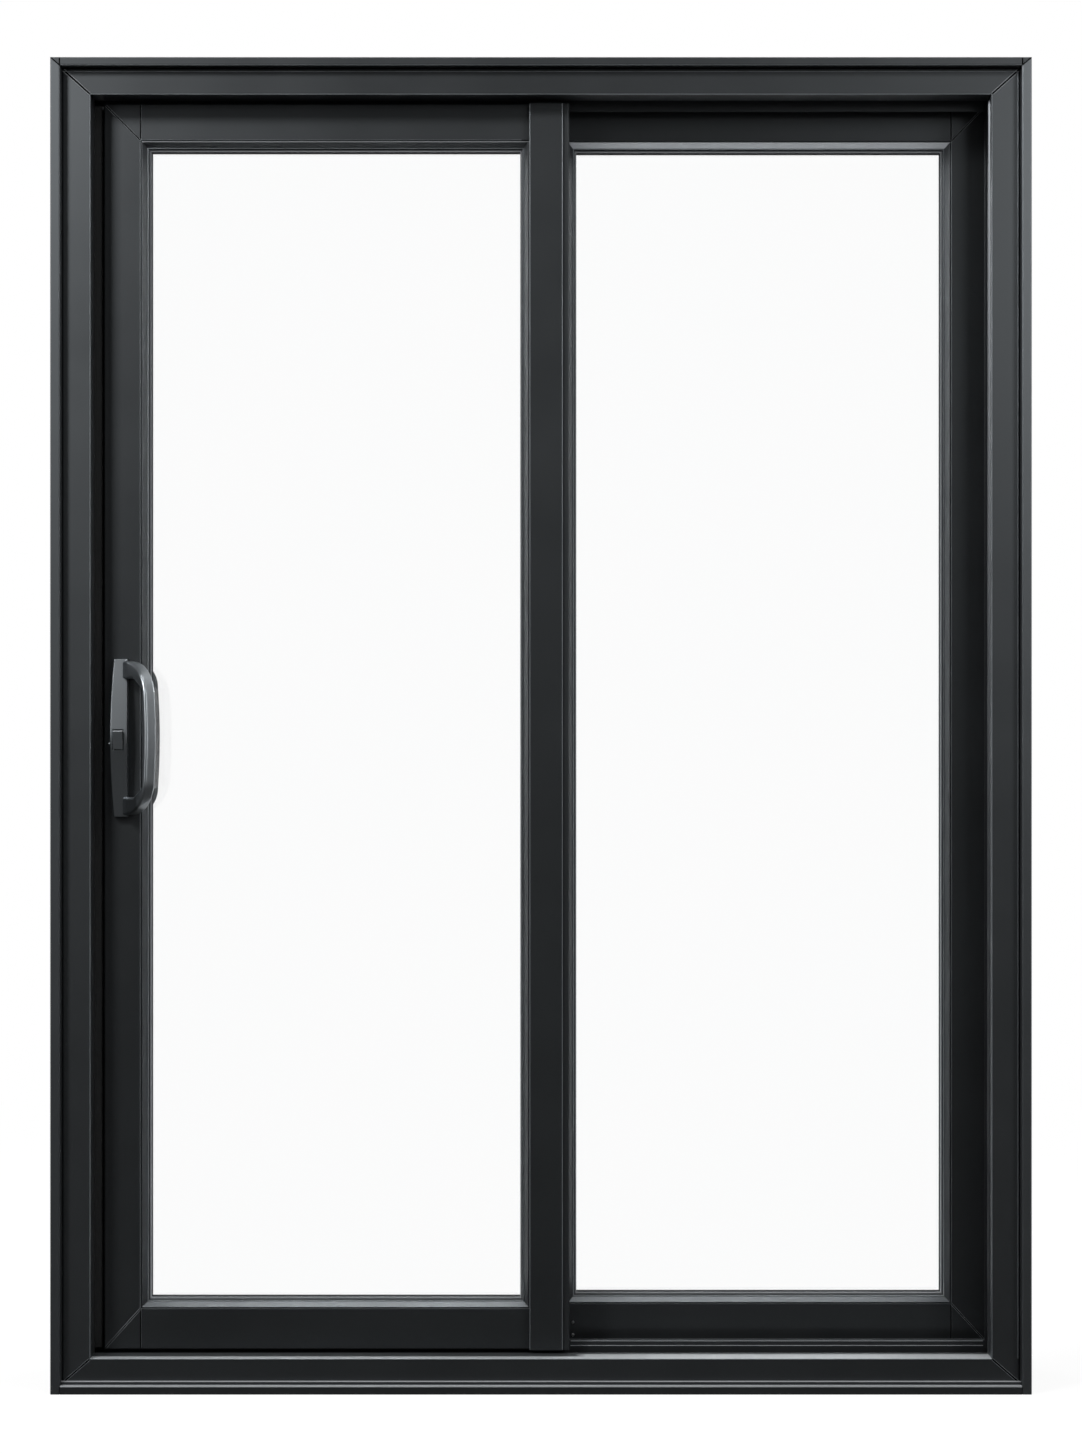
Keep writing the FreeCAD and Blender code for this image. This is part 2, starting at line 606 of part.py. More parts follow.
def make_sliding_panel():
    """The sliding panel's stiles, rails, beads, glass, interlock and rollers."""
    tall = slide_tall
    stile = upright("slide_lock_stile", sash_section("stile_wide"), tall, (slide_left, slide_face, slide_low), 1)
    mitre_upright(stile, "top", tall, "stile_wide", "top_rail", 1)
    mitre_upright(stile, "bottom", tall, "stile_wide", "low_rail", 1)
    rail_long = f"({slide_wide} - meet_wide)"
    top = level("slide_top_rail", sash_section("top_rail"), rail_long, (slide_left, slide_face, slide_high), -1)
    mitre_level(top, "left", rail_long, "stile_wide", "top_rail", -1)
    low = level("slide_bottom_rail", sash_section("low_rail"), rail_long, (slide_left, slide_face, slide_low), 1)
    mitre_level(low, "left", rail_long, "stile_wide", "low_rail", 1)
    meet = upright("slide_meeting_stile", sash_section("meet_wide", "meet_proud"), tall,
                   ("meet_right", slide_face, slide_low), -1)
    flange_low = box_points("-meet_wide - bead_wide", "0", "-meet_wide", "low_rail + bead_wide")
    flange_high = box_points("-meet_wide - bead_wide", f"{tall} - top_rail - bead_wide", "-meet_wide", tall)
    cut(meet, "slide_meeting_cope_low", "XZ_Plane", flange_low)
    cut(meet, "slide_meeting_cope_high", "XZ_Plane", flange_high)
    guide_slot = slot_points("guide_room", "guide_thick", f"{tall} - guide_slot", f"{tall} + guide_slot")
    track_slot = slot_points("track_room", "track_thick", "-track_over", "track_bite + track_over")
    for body in (stile, meet):
        cut(body, body.Name + "_guide_slot", "YZ_Plane", guide_slot)
        cut(body, body.Name + "_track_slot", "YZ_Plane", track_slot)
    cut(top, "slide_top_rail_slot", "YZ_Plane", slot_points("guide_room", "guide_thick", "-guide_slot", "guide_slot"))
    cut(low, "slide_bottom_rail_slot", "YZ_Plane",
        slot_points("track_room", "track_thick", "-track_over", "roller_slot"))
    nose = [
        ("0", "nose_back - meet_proud"),
        ("nose_wide - nose_bevel", "nose_back - meet_proud"),
        ("nose_wide", "nose_back - meet_proud + nose_bevel"),
        ("nose_wide", "glass_set"),
        ("nose_wide - nose_notch", "glass_set"),
        ("nose_wide - nose_notch", "sash_thick - nose_foot"),
        ("nose_wide", "sash_thick - nose_foot"),
        ("nose_wide", "sash_thick"),
        ("0", "sash_thick"),
    ]
    nose_bar = upright("slide_interlock", nose, tall, ("meet_right", slide_face, slide_low), 1)
    cut(nose_bar, "slide_interlock_guide_slot", "YZ_Plane", guide_slot)
    cut(nose_bar, "slide_interlock_track_slot", "YZ_Plane", track_slot)
    opening = (f"({slide_left} + stile_wide)", f"({slide_low} + low_rail)",
               f"({slide_wide} - stile_wide - meet_wide)", f"({tall} - low_rail - top_rail)")
    make_beads("slide", *opening, slide_face)
    make_glass("slide", *opening, slide_face)
    make_rollers(rail_long)


def circle(body, name, role, across, up, radius):
    """A circle on one of the body's own planes."""
    plane = [feature for feature in body.Origin.OriginFeatures if feature.Role == role][0]
    sketch = body.newObject("Sketcher::SketchObject", name)
    sketch.AttachmentSupport = [(plane, "")]
    sketch.MapMode = "FlatFace"
    middle = FreeCAD.Vector(number(across), number(up), 0)
    sketch.addGeometry(Part.Circle(middle, FreeCAD.Vector(0, 0, 1), number(radius)), False)
    tie(sketch, "DistanceX", 0, 3, across)
    tie(sketch, "DistanceY", 0, 3, up)
    made = sketch.addConstraint(Sketcher.Constraint("Radius", 0, number(radius)))
    sketch.setExpression(f"Constraints[{made}]", bound(radius))
    return sketch


def make_rollers(rail_long):
    """Two rollers on axles in the bottom rail's slot, just clear of the track."""
    up = f"({slide_low} + track_bite + roller_gap + roller_round)"
    for name, start in (("left", f"{slide_left} + roller_in"), ("right", f"{slide_left} + {rail_long} - roller_in")):
        body = new_body(f"slide_roller_{name}", (start, slide_middle, up))
        wheel = body.newObject("PartDesign::Pad", f"roller_{name}_wheel")
        wheel.Profile = circle(body, f"roller_{name}_rim", "XZ_Plane", "0", "0", "roller_round")
        wheel.SideType = "Symmetric"
        wheel.setExpression("Length", bound("roller_wide"))
        axle = body.newObject("PartDesign::Pad", f"roller_{name}_axle")
        axle.Profile = circle(body, f"roller_{name}_pin", "XZ_Plane", "0", "0", "axle_round")
        axle.SideType = "Symmetric"
        axle.setExpression("Length", bound("track_thick + 2*track_room"))
        doc.recompute()


def make_fixed_panel():
    """The fixed panel's stiles, rails, beads, glass and interlock."""
    tall = fixed_tall
    stile = upright("fixed_jamb_stile", sash_section("fixed_stile"), tall, (fixed_right, fixed_face, "sill_seat"), -1)
    mitre_upright(stile, "top", tall, "fixed_stile", "fixed_top", -1)
    mitre_upright(stile, "bottom", tall, "fixed_stile", "fixed_low", -1)
    rail_long = f"({fixed_wide} - fixed_meet)"
    start = "fixed_meet - fixed_left"
    top = level("fixed_top_rail", sash_section("fixed_top"), rail_long, (start, fixed_face, fixed_high), -1)
    mitre_level(top, "right", rail_long, "fixed_stile", "fixed_top", -1)
    low = level("fixed_bottom_rail", sash_section("fixed_low"), rail_long, (start, fixed_face, "sill_seat"), 1)
    mitre_level(low, "right", rail_long, "fixed_stile", "fixed_low", 1)
    meet = upright("fixed_meeting_stile", sash_section("fixed_meet"), tall, ("-fixed_left", fixed_face, "sill_seat"), 1)
    flange_low = box_points("fixed_meet", "0", "fixed_meet + bead_wide", "fixed_low + bead_wide")
    flange_high = box_points("fixed_meet", f"{tall} - fixed_top - bead_wide", "fixed_meet + bead_wide", tall)
    cut(meet, "fixed_meeting_cope_low", "XZ_Plane", flange_low)
    cut(meet, "fixed_meeting_cope_high", "XZ_Plane", flange_high)
    hook = [
        ("-hook_wide", "-hook_fin"),
        ("hook_fin", "-hook_fin"),
        ("hook_fin", "0"),
        ("0", "0"),
        ("0", "sash_thick"),
        ("-hook_wide", "sash_thick"),
        ("-hook_wide", "sash_thick - hook_fin"),
        ("-hook_fin", "sash_thick - hook_fin"),
        ("-hook_fin", "0"),
        ("-hook_wide", "0"),
    ]
    upright("fixed_interlock", hook, f"{tall} - retainer_tall", ("-fixed_left", fixed_face, "sill_seat + retainer_tall"), 1)
    opening = ("(fixed_meet - fixed_left)", "(sill_seat + fixed_low)",
               f"({fixed_wide} - fixed_stile - fixed_meet)", f"({tall} - fixed_low - fixed_top)")
    make_beads("fixed", *opening, fixed_face)
    make_glass("fixed", *opening, fixed_face)


def make_handle(name, place, out, knee_high, side):
    """A cast handle: a plate with a swollen left edge and a crest, and a pull on the slant.

    Side -1 is the room side and 1 the outside. The pull is one closed outline, tall at its
    feet and thin along its bar, on a plane that leans away from the panel.
    """
    body = new_body(name, place)
    tall = "(handle_long/2)"
    root = "(pull_wide/2*cos(pull_turn*1 deg)/sin(pull_turn*1 deg) + pull_start)"
    swell = f"({knee_high}*tan(knee_lean/2*1 deg))"
    knee = f"({out} - {swell})"
    elbow = f"({root} + ({knee} - {root})*elbow_share)"
    chord = "((90 + knee_lean - elbow_fall)/2*1 deg)"
    turn = "((90 - knee_lean - elbow_fall)*1 deg)"
    elbow_high = f"({knee_high} + ({knee} - {elbow})/tan({chord}))"
    corner = f"({knee} - {elbow})/sin({chord})/2*tan({turn}/4)"
    high = f"({elbow_high} + ({elbow} - {root})*tan(elbow_fall*1 deg))"
    bar = f"({out} - pull_thick)"
    foot = f"({high} - foot_tall)"
    bar_end = f"({foot} - inner_fall)"
    loop = [
        (root, f"-{high}"),
        (elbow, f"-{elbow_high}", corner),
        (knee, f"-{knee_high}", swell),
        (knee, knee_high, corner),
        (elbow, elbow_high),
        (root, high),
        (root, foot),
        (f"{bar} - inner_run", foot),
        (bar, bar_end),
        (bar, f"-{bar_end}"),
        (f"{bar} - inner_run", f"-{foot}"),
        (root, f"-{foot}"),
    ]
    shift = "plate_wide/2 + pull_shift"
    pull = body.newObject("PartDesign::Pad", name + "_pull")
    pull.Profile = outline(body, name + "_loop", "XZ_Plane", loop, shift=shift, swing=side)
    pull.SideType = "Symmetric"
    pull.setExpression("Length", bound("pull_wide"))
    doc.recompute()
    ends = number(root) + NEAR
    angle = math.radians(number("pull_turn"))
    slant = FreeCAD.Vector(math.cos(angle), side * math.sin(angle), 0)
    origin = FreeCAD.Vector(number(shift), 0, 0)
    across = FreeCAD.Vector(-slant.y, slant.x, 0)
    round_edges(body, name + "_pull_edge", pull,
                lambda middle, edge: (middle - origin).dot(slant) > ends
                and abs(abs((middle - origin).dot(across)) - number("pull_wide/2")) < NEAR / 10, "pull_edge")
    turned = "" if side == 1 else "-"
    plate = pad(body, name + "_plate", "YZ_Plane", [
        ("0", f"-{tall}"),
        ("0", tall),
        (f"{turned}plate_end", tall),
        (f"{turned}(plate_thick - crest_rise)", "crest_half", f"{'-' if side == 1 else ''}crest_rise"),
        (f"{turned}(plate_thick - crest_rise)", "-crest_half"),
        (f"{turned}plate_end", f"-{tall}"),
    ], "plate_wide + plate_bulge", shift="-plate_bulge")
    past = f"{tall} + plate_edge"
    trimmed = cut(body, name + "_swell", "XZ_Plane", [
        ("-plate_bulge - plate_edge", f"-({past})"),
        ("0", f"-({past})"),
        ("0", f"-{tall}", "-plate_bulge"),
        ("0", tall),
        ("0", past),
        ("-plate_bulge - plate_edge", past),
    ])
    right = number("plate_wide/2")
    flat = number("plate_end/2")
    bevel_edges(body, name + "_edge", trimmed,
                lambda middle, edge: side * middle.y > flat and middle.x < right + NEAR
                and edge.BoundBox.YLength < number("plate_thick - plate_end") + NEAR
                and (edge.BoundBox.XLength < right or abs(middle.z) > number(tall) - NEAR), "plate_edge")
    return body


def make_handles():
    """The inner handle with the thumb latch's window, and the outer handle."""
    left = f"({slide_left} + plate_left)"
    inner = make_handle("front_handle", (left, slide_face, "handle_mid"), "pull_out", "pull_knee", -1)
    down = "(-latch_drop)"
    window = box_points("latch_in - latch_wide/2 - latch_room", f"{down} - latch_under - latch_room",
                        "latch_in + latch_wide/2 + latch_room", f"{down} + latch_over + latch_swing")
    cut(inner, "latch_window", "XZ_Plane", window)
    hole = inner.newObject("PartDesign::Pocket", "latch_hole")
    hole.Profile = circle(inner, "latch_hole_rim", "YZ_Plane", "-plate_thick/2", down, "pin_round + pin_fit")
    hole.SideType = "Symmetric"
    hole.setExpression("Length", bound("2*(latch_in + latch_wide/2 + latch_room + pin_deep + pin_fit)"))
    doc.recompute()
    make_handle("back_handle", (left, f"{slide_face} + sash_thick", "handle_mid"), "back_out", "back_knee", 1)


def make_latch():
    """The thumb latch: a wedge that rocks on a pin through the plate's sides."""
    body = new_body("thumb_latch", (f"{slide_left} + plate_left + latch_in",
                                    f"{slide_face} - plate_thick/2", "handle_mid - latch_drop"))
    pad(body, "latch_wedge", "YZ_Plane", [
        ("-plate_thick/2 - latch_proud", "latch_over - latch_slope"),
        ("-plate_thick/2 - latch_toe", "-latch_under"),
        ("-latch_toe - pin_round", "-latch_under"),
        ("-latch_toe - pin_round", "-2*pin_round"),
        ("pin_round + latch_toe", "-pin_round"),
        ("pin_round + latch_toe", "pin_round"),
        ("-latch_toe - pin_round", "2*pin_round"),
        ("-latch_toe - pin_round", "latch_over"),
    ], "latch_wide", both=True)
    pin = body.newObject("PartDesign::Pad", "latch_pin")
    pin.Profile = circle(body, "latch_pin_rim", "YZ_Plane", "0", "0", "pin_round")
    pin.SideType = "Two sides"
    pin.setExpression("Length", bound("latch_wide/2 + latch_room + pin_deep"))
    pin.setExpression("Length2", bound("latch_in + plate_bulge + pin_past"))
    doc.recompute()


def make_lock_edge():
    """The lock's faceplate, let into the closing edge of the lock stile."""
    face = box_points("sash_thick/2 - face_wide/2", "-face_tall/2", "sash_thick/2 + face_wide/2", "face_tall/2")
    body = new_body("lock_faceplate", (slide_left, slide_face, "handle_mid"))
    pad(body, "faceplate_sheet", "YZ_Plane", face, "face_thick")
    slot = box_points("sash_thick/2 - bolt_wide/2", "-bolt_tall/2", "sash_thick/2 + bolt_wide/2", "bolt_tall/2")
    cut(body, "faceplate_slot", "YZ_Plane", slot)
    up = f"(handle_mid - {slide_low})"
    recess = box_points("sash_thick/2 - face_wide/2", f"{up} - face_tall/2",
                        "sash_thick/2 + face_wide/2", f"{up} + face_tall/2")
    stile = doc.getObject("slide_lock_stile")
    cut(stile, "faceplate_recess", "YZ_Plane", recess, deep="face_thick", backward=True)


make_frame()
make_trims()
make_running_gear()
make_jamb_strips()
make_sliding_panel()
make_fixed_panel()
make_handles()
make_latch()
make_lock_edge()

doc.recompute()
for item in doc.Objects:
    if "Invalid" in item.State or "Error" in item.State:
        raise RuntimeError(f"{item.Name} is {item.State}")
os.makedirs("parts", exist_ok=True)
for body in parts:
    shape = body.Shape
    if shape.isNull() or not shape.isValid():
        raise RuntimeError(body.Label + " has no valid shape")
    print(body.Label, len(shape.Solids), round(shape.Volume), shape.BoundBox)
    shape.exportStep(f"parts/{body.Label}.step")
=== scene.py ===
# %% [markdown]
# # A sliding patio door, dressed step by step
# The part arrives as a fixed frame: every member of the door at its real size, in metres.
# This lesson gives each member its finish and adds what the solids leave out. We start by
# loading that frame and keeping its box, because the dressed door has to stay inside it.

# %% Load the frame
import math

import bpy
import numpy as np
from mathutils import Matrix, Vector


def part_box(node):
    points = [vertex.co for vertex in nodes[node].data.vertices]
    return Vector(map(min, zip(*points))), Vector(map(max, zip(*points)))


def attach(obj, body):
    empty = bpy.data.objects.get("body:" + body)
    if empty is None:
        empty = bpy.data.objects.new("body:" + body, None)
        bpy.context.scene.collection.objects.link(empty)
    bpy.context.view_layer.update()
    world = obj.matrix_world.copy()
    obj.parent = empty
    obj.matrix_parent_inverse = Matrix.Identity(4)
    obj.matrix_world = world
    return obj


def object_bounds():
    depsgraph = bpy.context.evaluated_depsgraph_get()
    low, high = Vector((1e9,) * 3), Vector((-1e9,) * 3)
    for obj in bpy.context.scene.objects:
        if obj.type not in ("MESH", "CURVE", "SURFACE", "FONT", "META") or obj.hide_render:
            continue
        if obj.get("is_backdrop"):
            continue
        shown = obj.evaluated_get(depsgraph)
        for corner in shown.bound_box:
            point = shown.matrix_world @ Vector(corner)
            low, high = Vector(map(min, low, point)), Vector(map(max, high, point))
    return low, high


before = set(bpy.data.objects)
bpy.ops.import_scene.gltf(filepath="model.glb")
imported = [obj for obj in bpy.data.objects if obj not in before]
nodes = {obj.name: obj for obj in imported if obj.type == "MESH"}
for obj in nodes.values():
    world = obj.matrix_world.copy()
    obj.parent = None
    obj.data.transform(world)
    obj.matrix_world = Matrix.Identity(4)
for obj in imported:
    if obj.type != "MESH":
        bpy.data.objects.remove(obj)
cad_low, cad_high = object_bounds()
MM = 0.001
print("frame", len(nodes), "nodes, box", [round(v, 3) for v in (*cad_low, *cad_high)])

# %% [markdown]
# ## The camera
# A product picture of a door is taken square on, with the film parallel to the glass, so that
# no edge leans. The lens stands about as high as the handle. We work out the focal length
# from how much of the scene the picture takes in at the plane of the outer trim.

# %% Camera
PICTURE = (1082, 1454)
TRIM_WIDTH_PX = 982.0
MIDDLE_PX = (540.5, 727.0)
DISTANCE = 3.5

trim_low, trim_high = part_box("left_trim")
door_width = cad_high[0] - cad_low[0]
metre_per_px = door_width / TRIM_WIDTH_PX
SENSOR = 36.0
camera_data = bpy.data.cameras.new("camera")
camera_data.sensor_width = SENSOR
camera_data.lens = SENSOR * DISTANCE / (metre_per_px * PICTURE[1])
camera = bpy.data.objects.new("camera", camera_data)
camera.location = (0.0, trim_low[1] - DISTANCE, 1.030)
camera.rotation_euler = (math.radians(90), 0, 0)
bpy.context.collection.objects.link(camera)
bpy.context.scene.camera = camera
print("lens", round(camera_data.lens, 2), "mm,", round(metre_per_px * 1000, 4), "mm to a pixel")

# %% [markdown]
# ## Helpers for materials
# Colours are written as the hex values that a screen shows. Shaders work in linear light, so
# one function turns them. Another small function adds one node, with its settings and links,
# to a material's node tree.


# %% Colour and node helpers
def linear(code):
    """sRGB hex to linear RGBA: c/12.92 below 0.04045, else ((c + 0.055)/1.055)^2.4."""
    srgb = np.array([int(code[i:i + 2], 16) for i in (1, 3, 5)]) / 255.0
    rgb = np.where(srgb <= 0.04045, srgb / 12.92, ((srgb + 0.055) / 1.055) ** 2.4)
    return (*rgb.tolist(), 1.0)


def add_node(tree, kind, settings=None, values=None, links=None):
    """Adds a node; settings are its own, values go to its inputs, links come from sockets."""
    node = tree.nodes.new(kind)
    for name, value in (settings or {}).items():
        setattr(node, name, value)
    for name, value in (values or {}).items():
        node.inputs[name].default_value = value
    for name, socket in (links or {}).items():
        tree.links.new(socket, node.inputs[name])
    return node


def new_material(name):
    """A material with an empty node tree and its output node."""
    material = bpy.data.materials.new(name)
    material.use_nodes = True
    material.node_tree.nodes.clear()
    output = material.node_tree.nodes.new("ShaderNodeOutputMaterial")
    return material, material.node_tree, output


# %% [markdown]
# ## The powder coat
# The members are aluminium with a fine satin powder coat in anthracite black. Powder melts
# and flows in the oven, and leaves a faint skin like orange peel, about a millimetre and a
# half from bump to bump. The eye reads it as a soft sheen that is never quite even, so the
# roughness wanders a little over a hand's width and the bump is very shallow.


# %% Powder coat
EDGE_ROUND = 1.2 * MM


SHEEN = "#f1f9ff"


def along(tree, place, axis, start, stop, low=0.0, high=1.0):
    """The object coordinate on one axis, taken from start-stop to low-high and clamped."""
    split = add_node(tree, "ShaderNodeSeparateXYZ", links={0: place.outputs["Object"]})
    values = {"From Min": start, "From Max": stop, "To Min": low, "To Max": high}
    return add_node(tree, "ShaderNodeMapRange", values=values,
                    links={"Value": split.outputs[axis]}).outputs["Result"]


def facing_up(tree):
    """0 to 1 as the face turns from 30 degrees above level sight to nearly straight up."""
    geometry = add_node(tree, "ShaderNodeNewGeometry")
    split = add_node(tree, "ShaderNodeSeparateXYZ", links={0: geometry.outputs["Normal"]})
    return add_node(tree, "ShaderNodeMapRange", values={"From Min": 0.5, "From Max": 0.9},
                    links={"Value": split.outputs["Z"]}).outputs["Result"]


def maths(tree, operation, first, second, third=None):
    """One maths node; its inputs are numbers or sockets."""
    given = {i: v for i, v in enumerate((first, second, third)) if v is not None}
    numbers = {i: v for i, v in given.items() if isinstance(v, float)}
    sockets = {i: v for i, v in given.items() if i not in numbers}
    return add_node(tree, "ShaderNodeMath", {"operation": operation}, numbers, sockets).outputs[0]


def powder_coat(name, colour, worn, rough, bump, index=1.5, pale=None, painted_light_mask=None, relief=None):
    """Noise mixes colour and worn, and moves roughness; a peel bump gives the skin.

    pale is painted light: a paler tone laid on where the mask function given with it returns 1,
    as a painted highlight or painted reflection. relief(tree, place) is a height in metres that
    leans the face by its own slope.
    """
    material, tree, output = new_material(name)
    place = add_node(tree, "ShaderNodeTexCoord")
    slow = add_node(tree, "ShaderNodeTexNoise", values={"Scale": 1 / 0.12, "Detail": 3.0},
                    links={"Vector": place.outputs["Object"]})
    peel = add_node(tree, "ShaderNodeTexNoise", values={"Scale": 1 / 0.0015, "Detail": 1.0},
                    links={"Vector": place.outputs["Object"]})
    tone = add_node(tree, "ShaderNodeMix", {"data_type": "RGBA"}, links={0: slow.outputs["Fac"]})
    tone.inputs[6].default_value = linear(colour)
    tone.inputs[7].default_value = linear(worn)
    spread = add_node(tree, "ShaderNodeMapRange",
                      values={"To Min": rough - 0.05, "To Max": rough + 0.05},
                      links={"Value": slow.outputs["Fac"]})
    colour_out = tone.outputs[2]
    normal_out = add_node(tree, "ShaderNodeBevel", {"samples": 6},
                          values={"Radius": EDGE_ROUND}).outputs["Normal"]
    # Painted light: the pale tone is mixed in wherever the mask marks a face as lit.
    if painted_light_mask:
        painted_light_mix = add_node(tree, "ShaderNodeMix", {"data_type": "RGBA"},
                         links={0: painted_light_mask(tree, place), 6: colour_out})
        painted_light_mix.inputs[7].default_value = linear(pale)
        colour_out = painted_light_mix.outputs[2]
    if relief:
        normal_out = add_node(tree, "ShaderNodeBump", values={"Strength": 1.0, "Distance": 1.0},
                              links={"Height": relief(tree, place),
                                     "Normal": normal_out}).outputs["Normal"]
    skin = add_node(tree, "ShaderNodeBump", values={"Strength": bump, "Distance": 0.05 * MM},
                    links={"Height": peel.outputs["Fac"], "Normal": normal_out})
    shader = add_node(tree, "ShaderNodeBsdfPrincipled",
                      values={"Specular IOR Level": 1.0, "IOR": index, "Specular Tint": linear(SHEEN)},
                      links={"Base Color": colour_out, "Roughness": spread.outputs["Result"],
                             "Normal": skin.outputs["Normal"]})
    tree.links.new(shader.outputs["BSDF"], output.inputs["Surface"])
    return material


frame_coat = powder_coat("satin_powder_coat_frame", "#0b0c0d", "#0f1011", 0.46, 0.25)
jamb_coat = powder_coat("satin_powder_coat_left_jamb", "#0b0c0d", "#0f1011", 0.46, 0.25, 1.64)
right_jamb_coat = powder_coat("satin_powder_coat_right_jamb", "#0b0c0d", "#0f1011", 0.45, 0.25, 1.62)
trim_coat = powder_coat("satin_powder_coat_left_trim", "#0b0c0d", "#0f1011", 0.53, 0.2, 1.68)
right_trim_coat = powder_coat("satin_powder_coat_right_trim", "#0b0c0d", "#0f1011", 0.44, 0.2, 1.88)
sash_coat = powder_coat("satin_powder_coat_panel", "#0b0c0d", "#0f1011", 0.46, 0.25)
bead_coat = powder_coat("satin_powder_coat_bead", "#101112", "#141516", 0.42, 0.15, 1.6)
far_bead_low, far_bead_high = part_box("fixed_top_bead")


def far_bead_slope(tree, place):
    """1 on the bead's long slope, which ends 9 mm behind its front, where a painted reflection of the pale
    floor is laid on.
    """
    return along(tree, place, "Y", far_bead_low[1] + 9 * MM, far_bead_low[1] + 8.6 * MM)


lip_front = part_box("sill_frame")[0][1]
stile_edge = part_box("slide_meeting_stile")[1][0]


def painted_ledge_light(tree, place):
    """1 on upward faces near the lip's front edge, and deeper in beside the fixed panel. This is painted light:
    the pale ledge is where the lamps reach it, and the dark part under the sliding panel is painted shadow.
    """
    front = along(tree, place, "Y", lip_front + 14 * MM, lip_front + 11 * MM, 0.05, 1.0)
    deep = along(tree, place, "Y", lip_front + 27 * MM, lip_front + 23 * MM, 0.1, 1.0)
    side = along(tree, place, "X", stile_edge + 18 * MM, stile_edge + 36 * MM)
    return maths(tree, "MULTIPLY", facing_up(tree),
                 maths(tree, "MAXIMUM", front, maths(tree, "MULTIPLY", deep, side)))


latch_low, latch_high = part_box("thumb_latch")
plate_middle = (latch_low[2] + latch_high[2]) / 2
handle_low, handle_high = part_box("front_handle")
CROWN, LATCH_LEAN = math.radians(11), math.radians(9.5)
FOOT_LEAN, FOOT_TALL = math.radians(18), 26 * MM


def rise_above(tree, place, start):
    """The object's height above start."""
    split = add_node(tree, "ShaderNodeSeparateXYZ", links={0: place.outputs["Object"]})
    return maths(tree, "SUBTRACT", split.outputs["Z"], start)


def casting_crown(tree, place):
    """Height -tan(crown) (max(rise, 0) + out min(rise, 0)), where rise starts at mid height.

    So the plate leans back above its middle, and the pull, where out is 1, over its whole
    length. The pull's upper foot leans back a little more.
    """
    out = along(tree, place, "Y", latch_low[1] - 25 * MM, latch_low[1] - 5 * MM, 1.0, 0.0)
    rise = rise_above(tree, place, plate_middle)
    upper = maths(tree, "SMOOTH_MAX", rise, 0.0, 20 * MM)
    lower = maths(tree, "MULTIPLY", maths(tree, "SMOOTH_MIN", rise, 0.0, 20 * MM), out)
    crown = maths(tree, "MULTIPLY", maths(tree, "ADD", upper, lower), -math.tan(CROWN))
    foot = maths(tree, "SMOOTH_MAX", rise_above(tree, place, handle_high[2] - FOOT_TALL), 0.0, 10 * MM)
    knuckle = maths(tree, "MULTIPLY", maths(tree, "MULTIPLY", foot, out), -math.tan(FOOT_LEAN))
    return maths(tree, "ADD", crown, knuckle)


def latch_lean(tree, place):
    """The latch's face leans back over its whole length."""
    return maths(tree, "MULTIPLY", rise_above(tree, place, latch_low[2]), -math.tan(LATCH_LEAN))


def latch_ledge_painted_highlight(tree, place):
    """1 on the latch's upward ledge, where a pale highlight is painted."""
    return facing_up(tree)


# The far top bead's slope faces down, and its pale grey tone there is a painted reflection of the pale floor.
far_bead_painted_reflection_coat = powder_coat("powder_coat_far_bead_with_painted_reflection", "#141618", "#1c1e20", 0.4, 0.3, 1.6,
                            pale="#9a9da1", painted_light_mask=far_bead_slope)
# The sill's upward ledges get a pale tone where they are lit: painted light, with painted shadow where the
# sliding panel shades them.
sill_coat = powder_coat("satin_powder_coat_sill", "#0b0c0d", "#0f1011", 0.5, 0.25,
                        pale="#8d9092", painted_light_mask=painted_ledge_light)
handle_coat = powder_coat("satin_powder_coat_handle", "#101214", "#141618", 0.33, 0.15, 2.15,
                          relief=casting_crown)
outer_coat = powder_coat("matt_powder_coat_outer_handle", "#0b0c0d", "#101112", 0.6, 0.2, 1.35)
# The latch's upward ledge is painted pale: a painted highlight where the light falls on it.
latch_coat = powder_coat("satin_powder_coat_latch", "#101214", "#141618", 0.34, 0.15, 2.1,
                         pale="#a2a5a8", painted_light_mask=latch_ledge_painted_highlight, relief=latch_lean)
# Pale coats for the edge lenses and the lines beside joints: their pale colour is a painted highlight, a
# stand-in for the lamps catching each edge.
edge_painted_highlight = powder_coat("rounded_edge_coat_painted_highlight", "#4a4d50", "#565a5d", 0.42, 0.1, 2.3)
bright_edge_painted_highlight = powder_coat("cut_edge_coat_painted_highlight", "#808386", "#8a8d90", 0.45, 0.1, 1.8)
print("powder coats", frame_coat.name, sash_coat.name, handle_coat.name)

# %% [markdown]
# ## Glass
# Both panels hold two sheets of clear float glass. Glass lets lamplight through, but a
# renderer that skips caustics would give it a black shadow. So for shadow rays the sheet is
# plain see-through, and for every other ray it is real glass with the index of soda-lime.


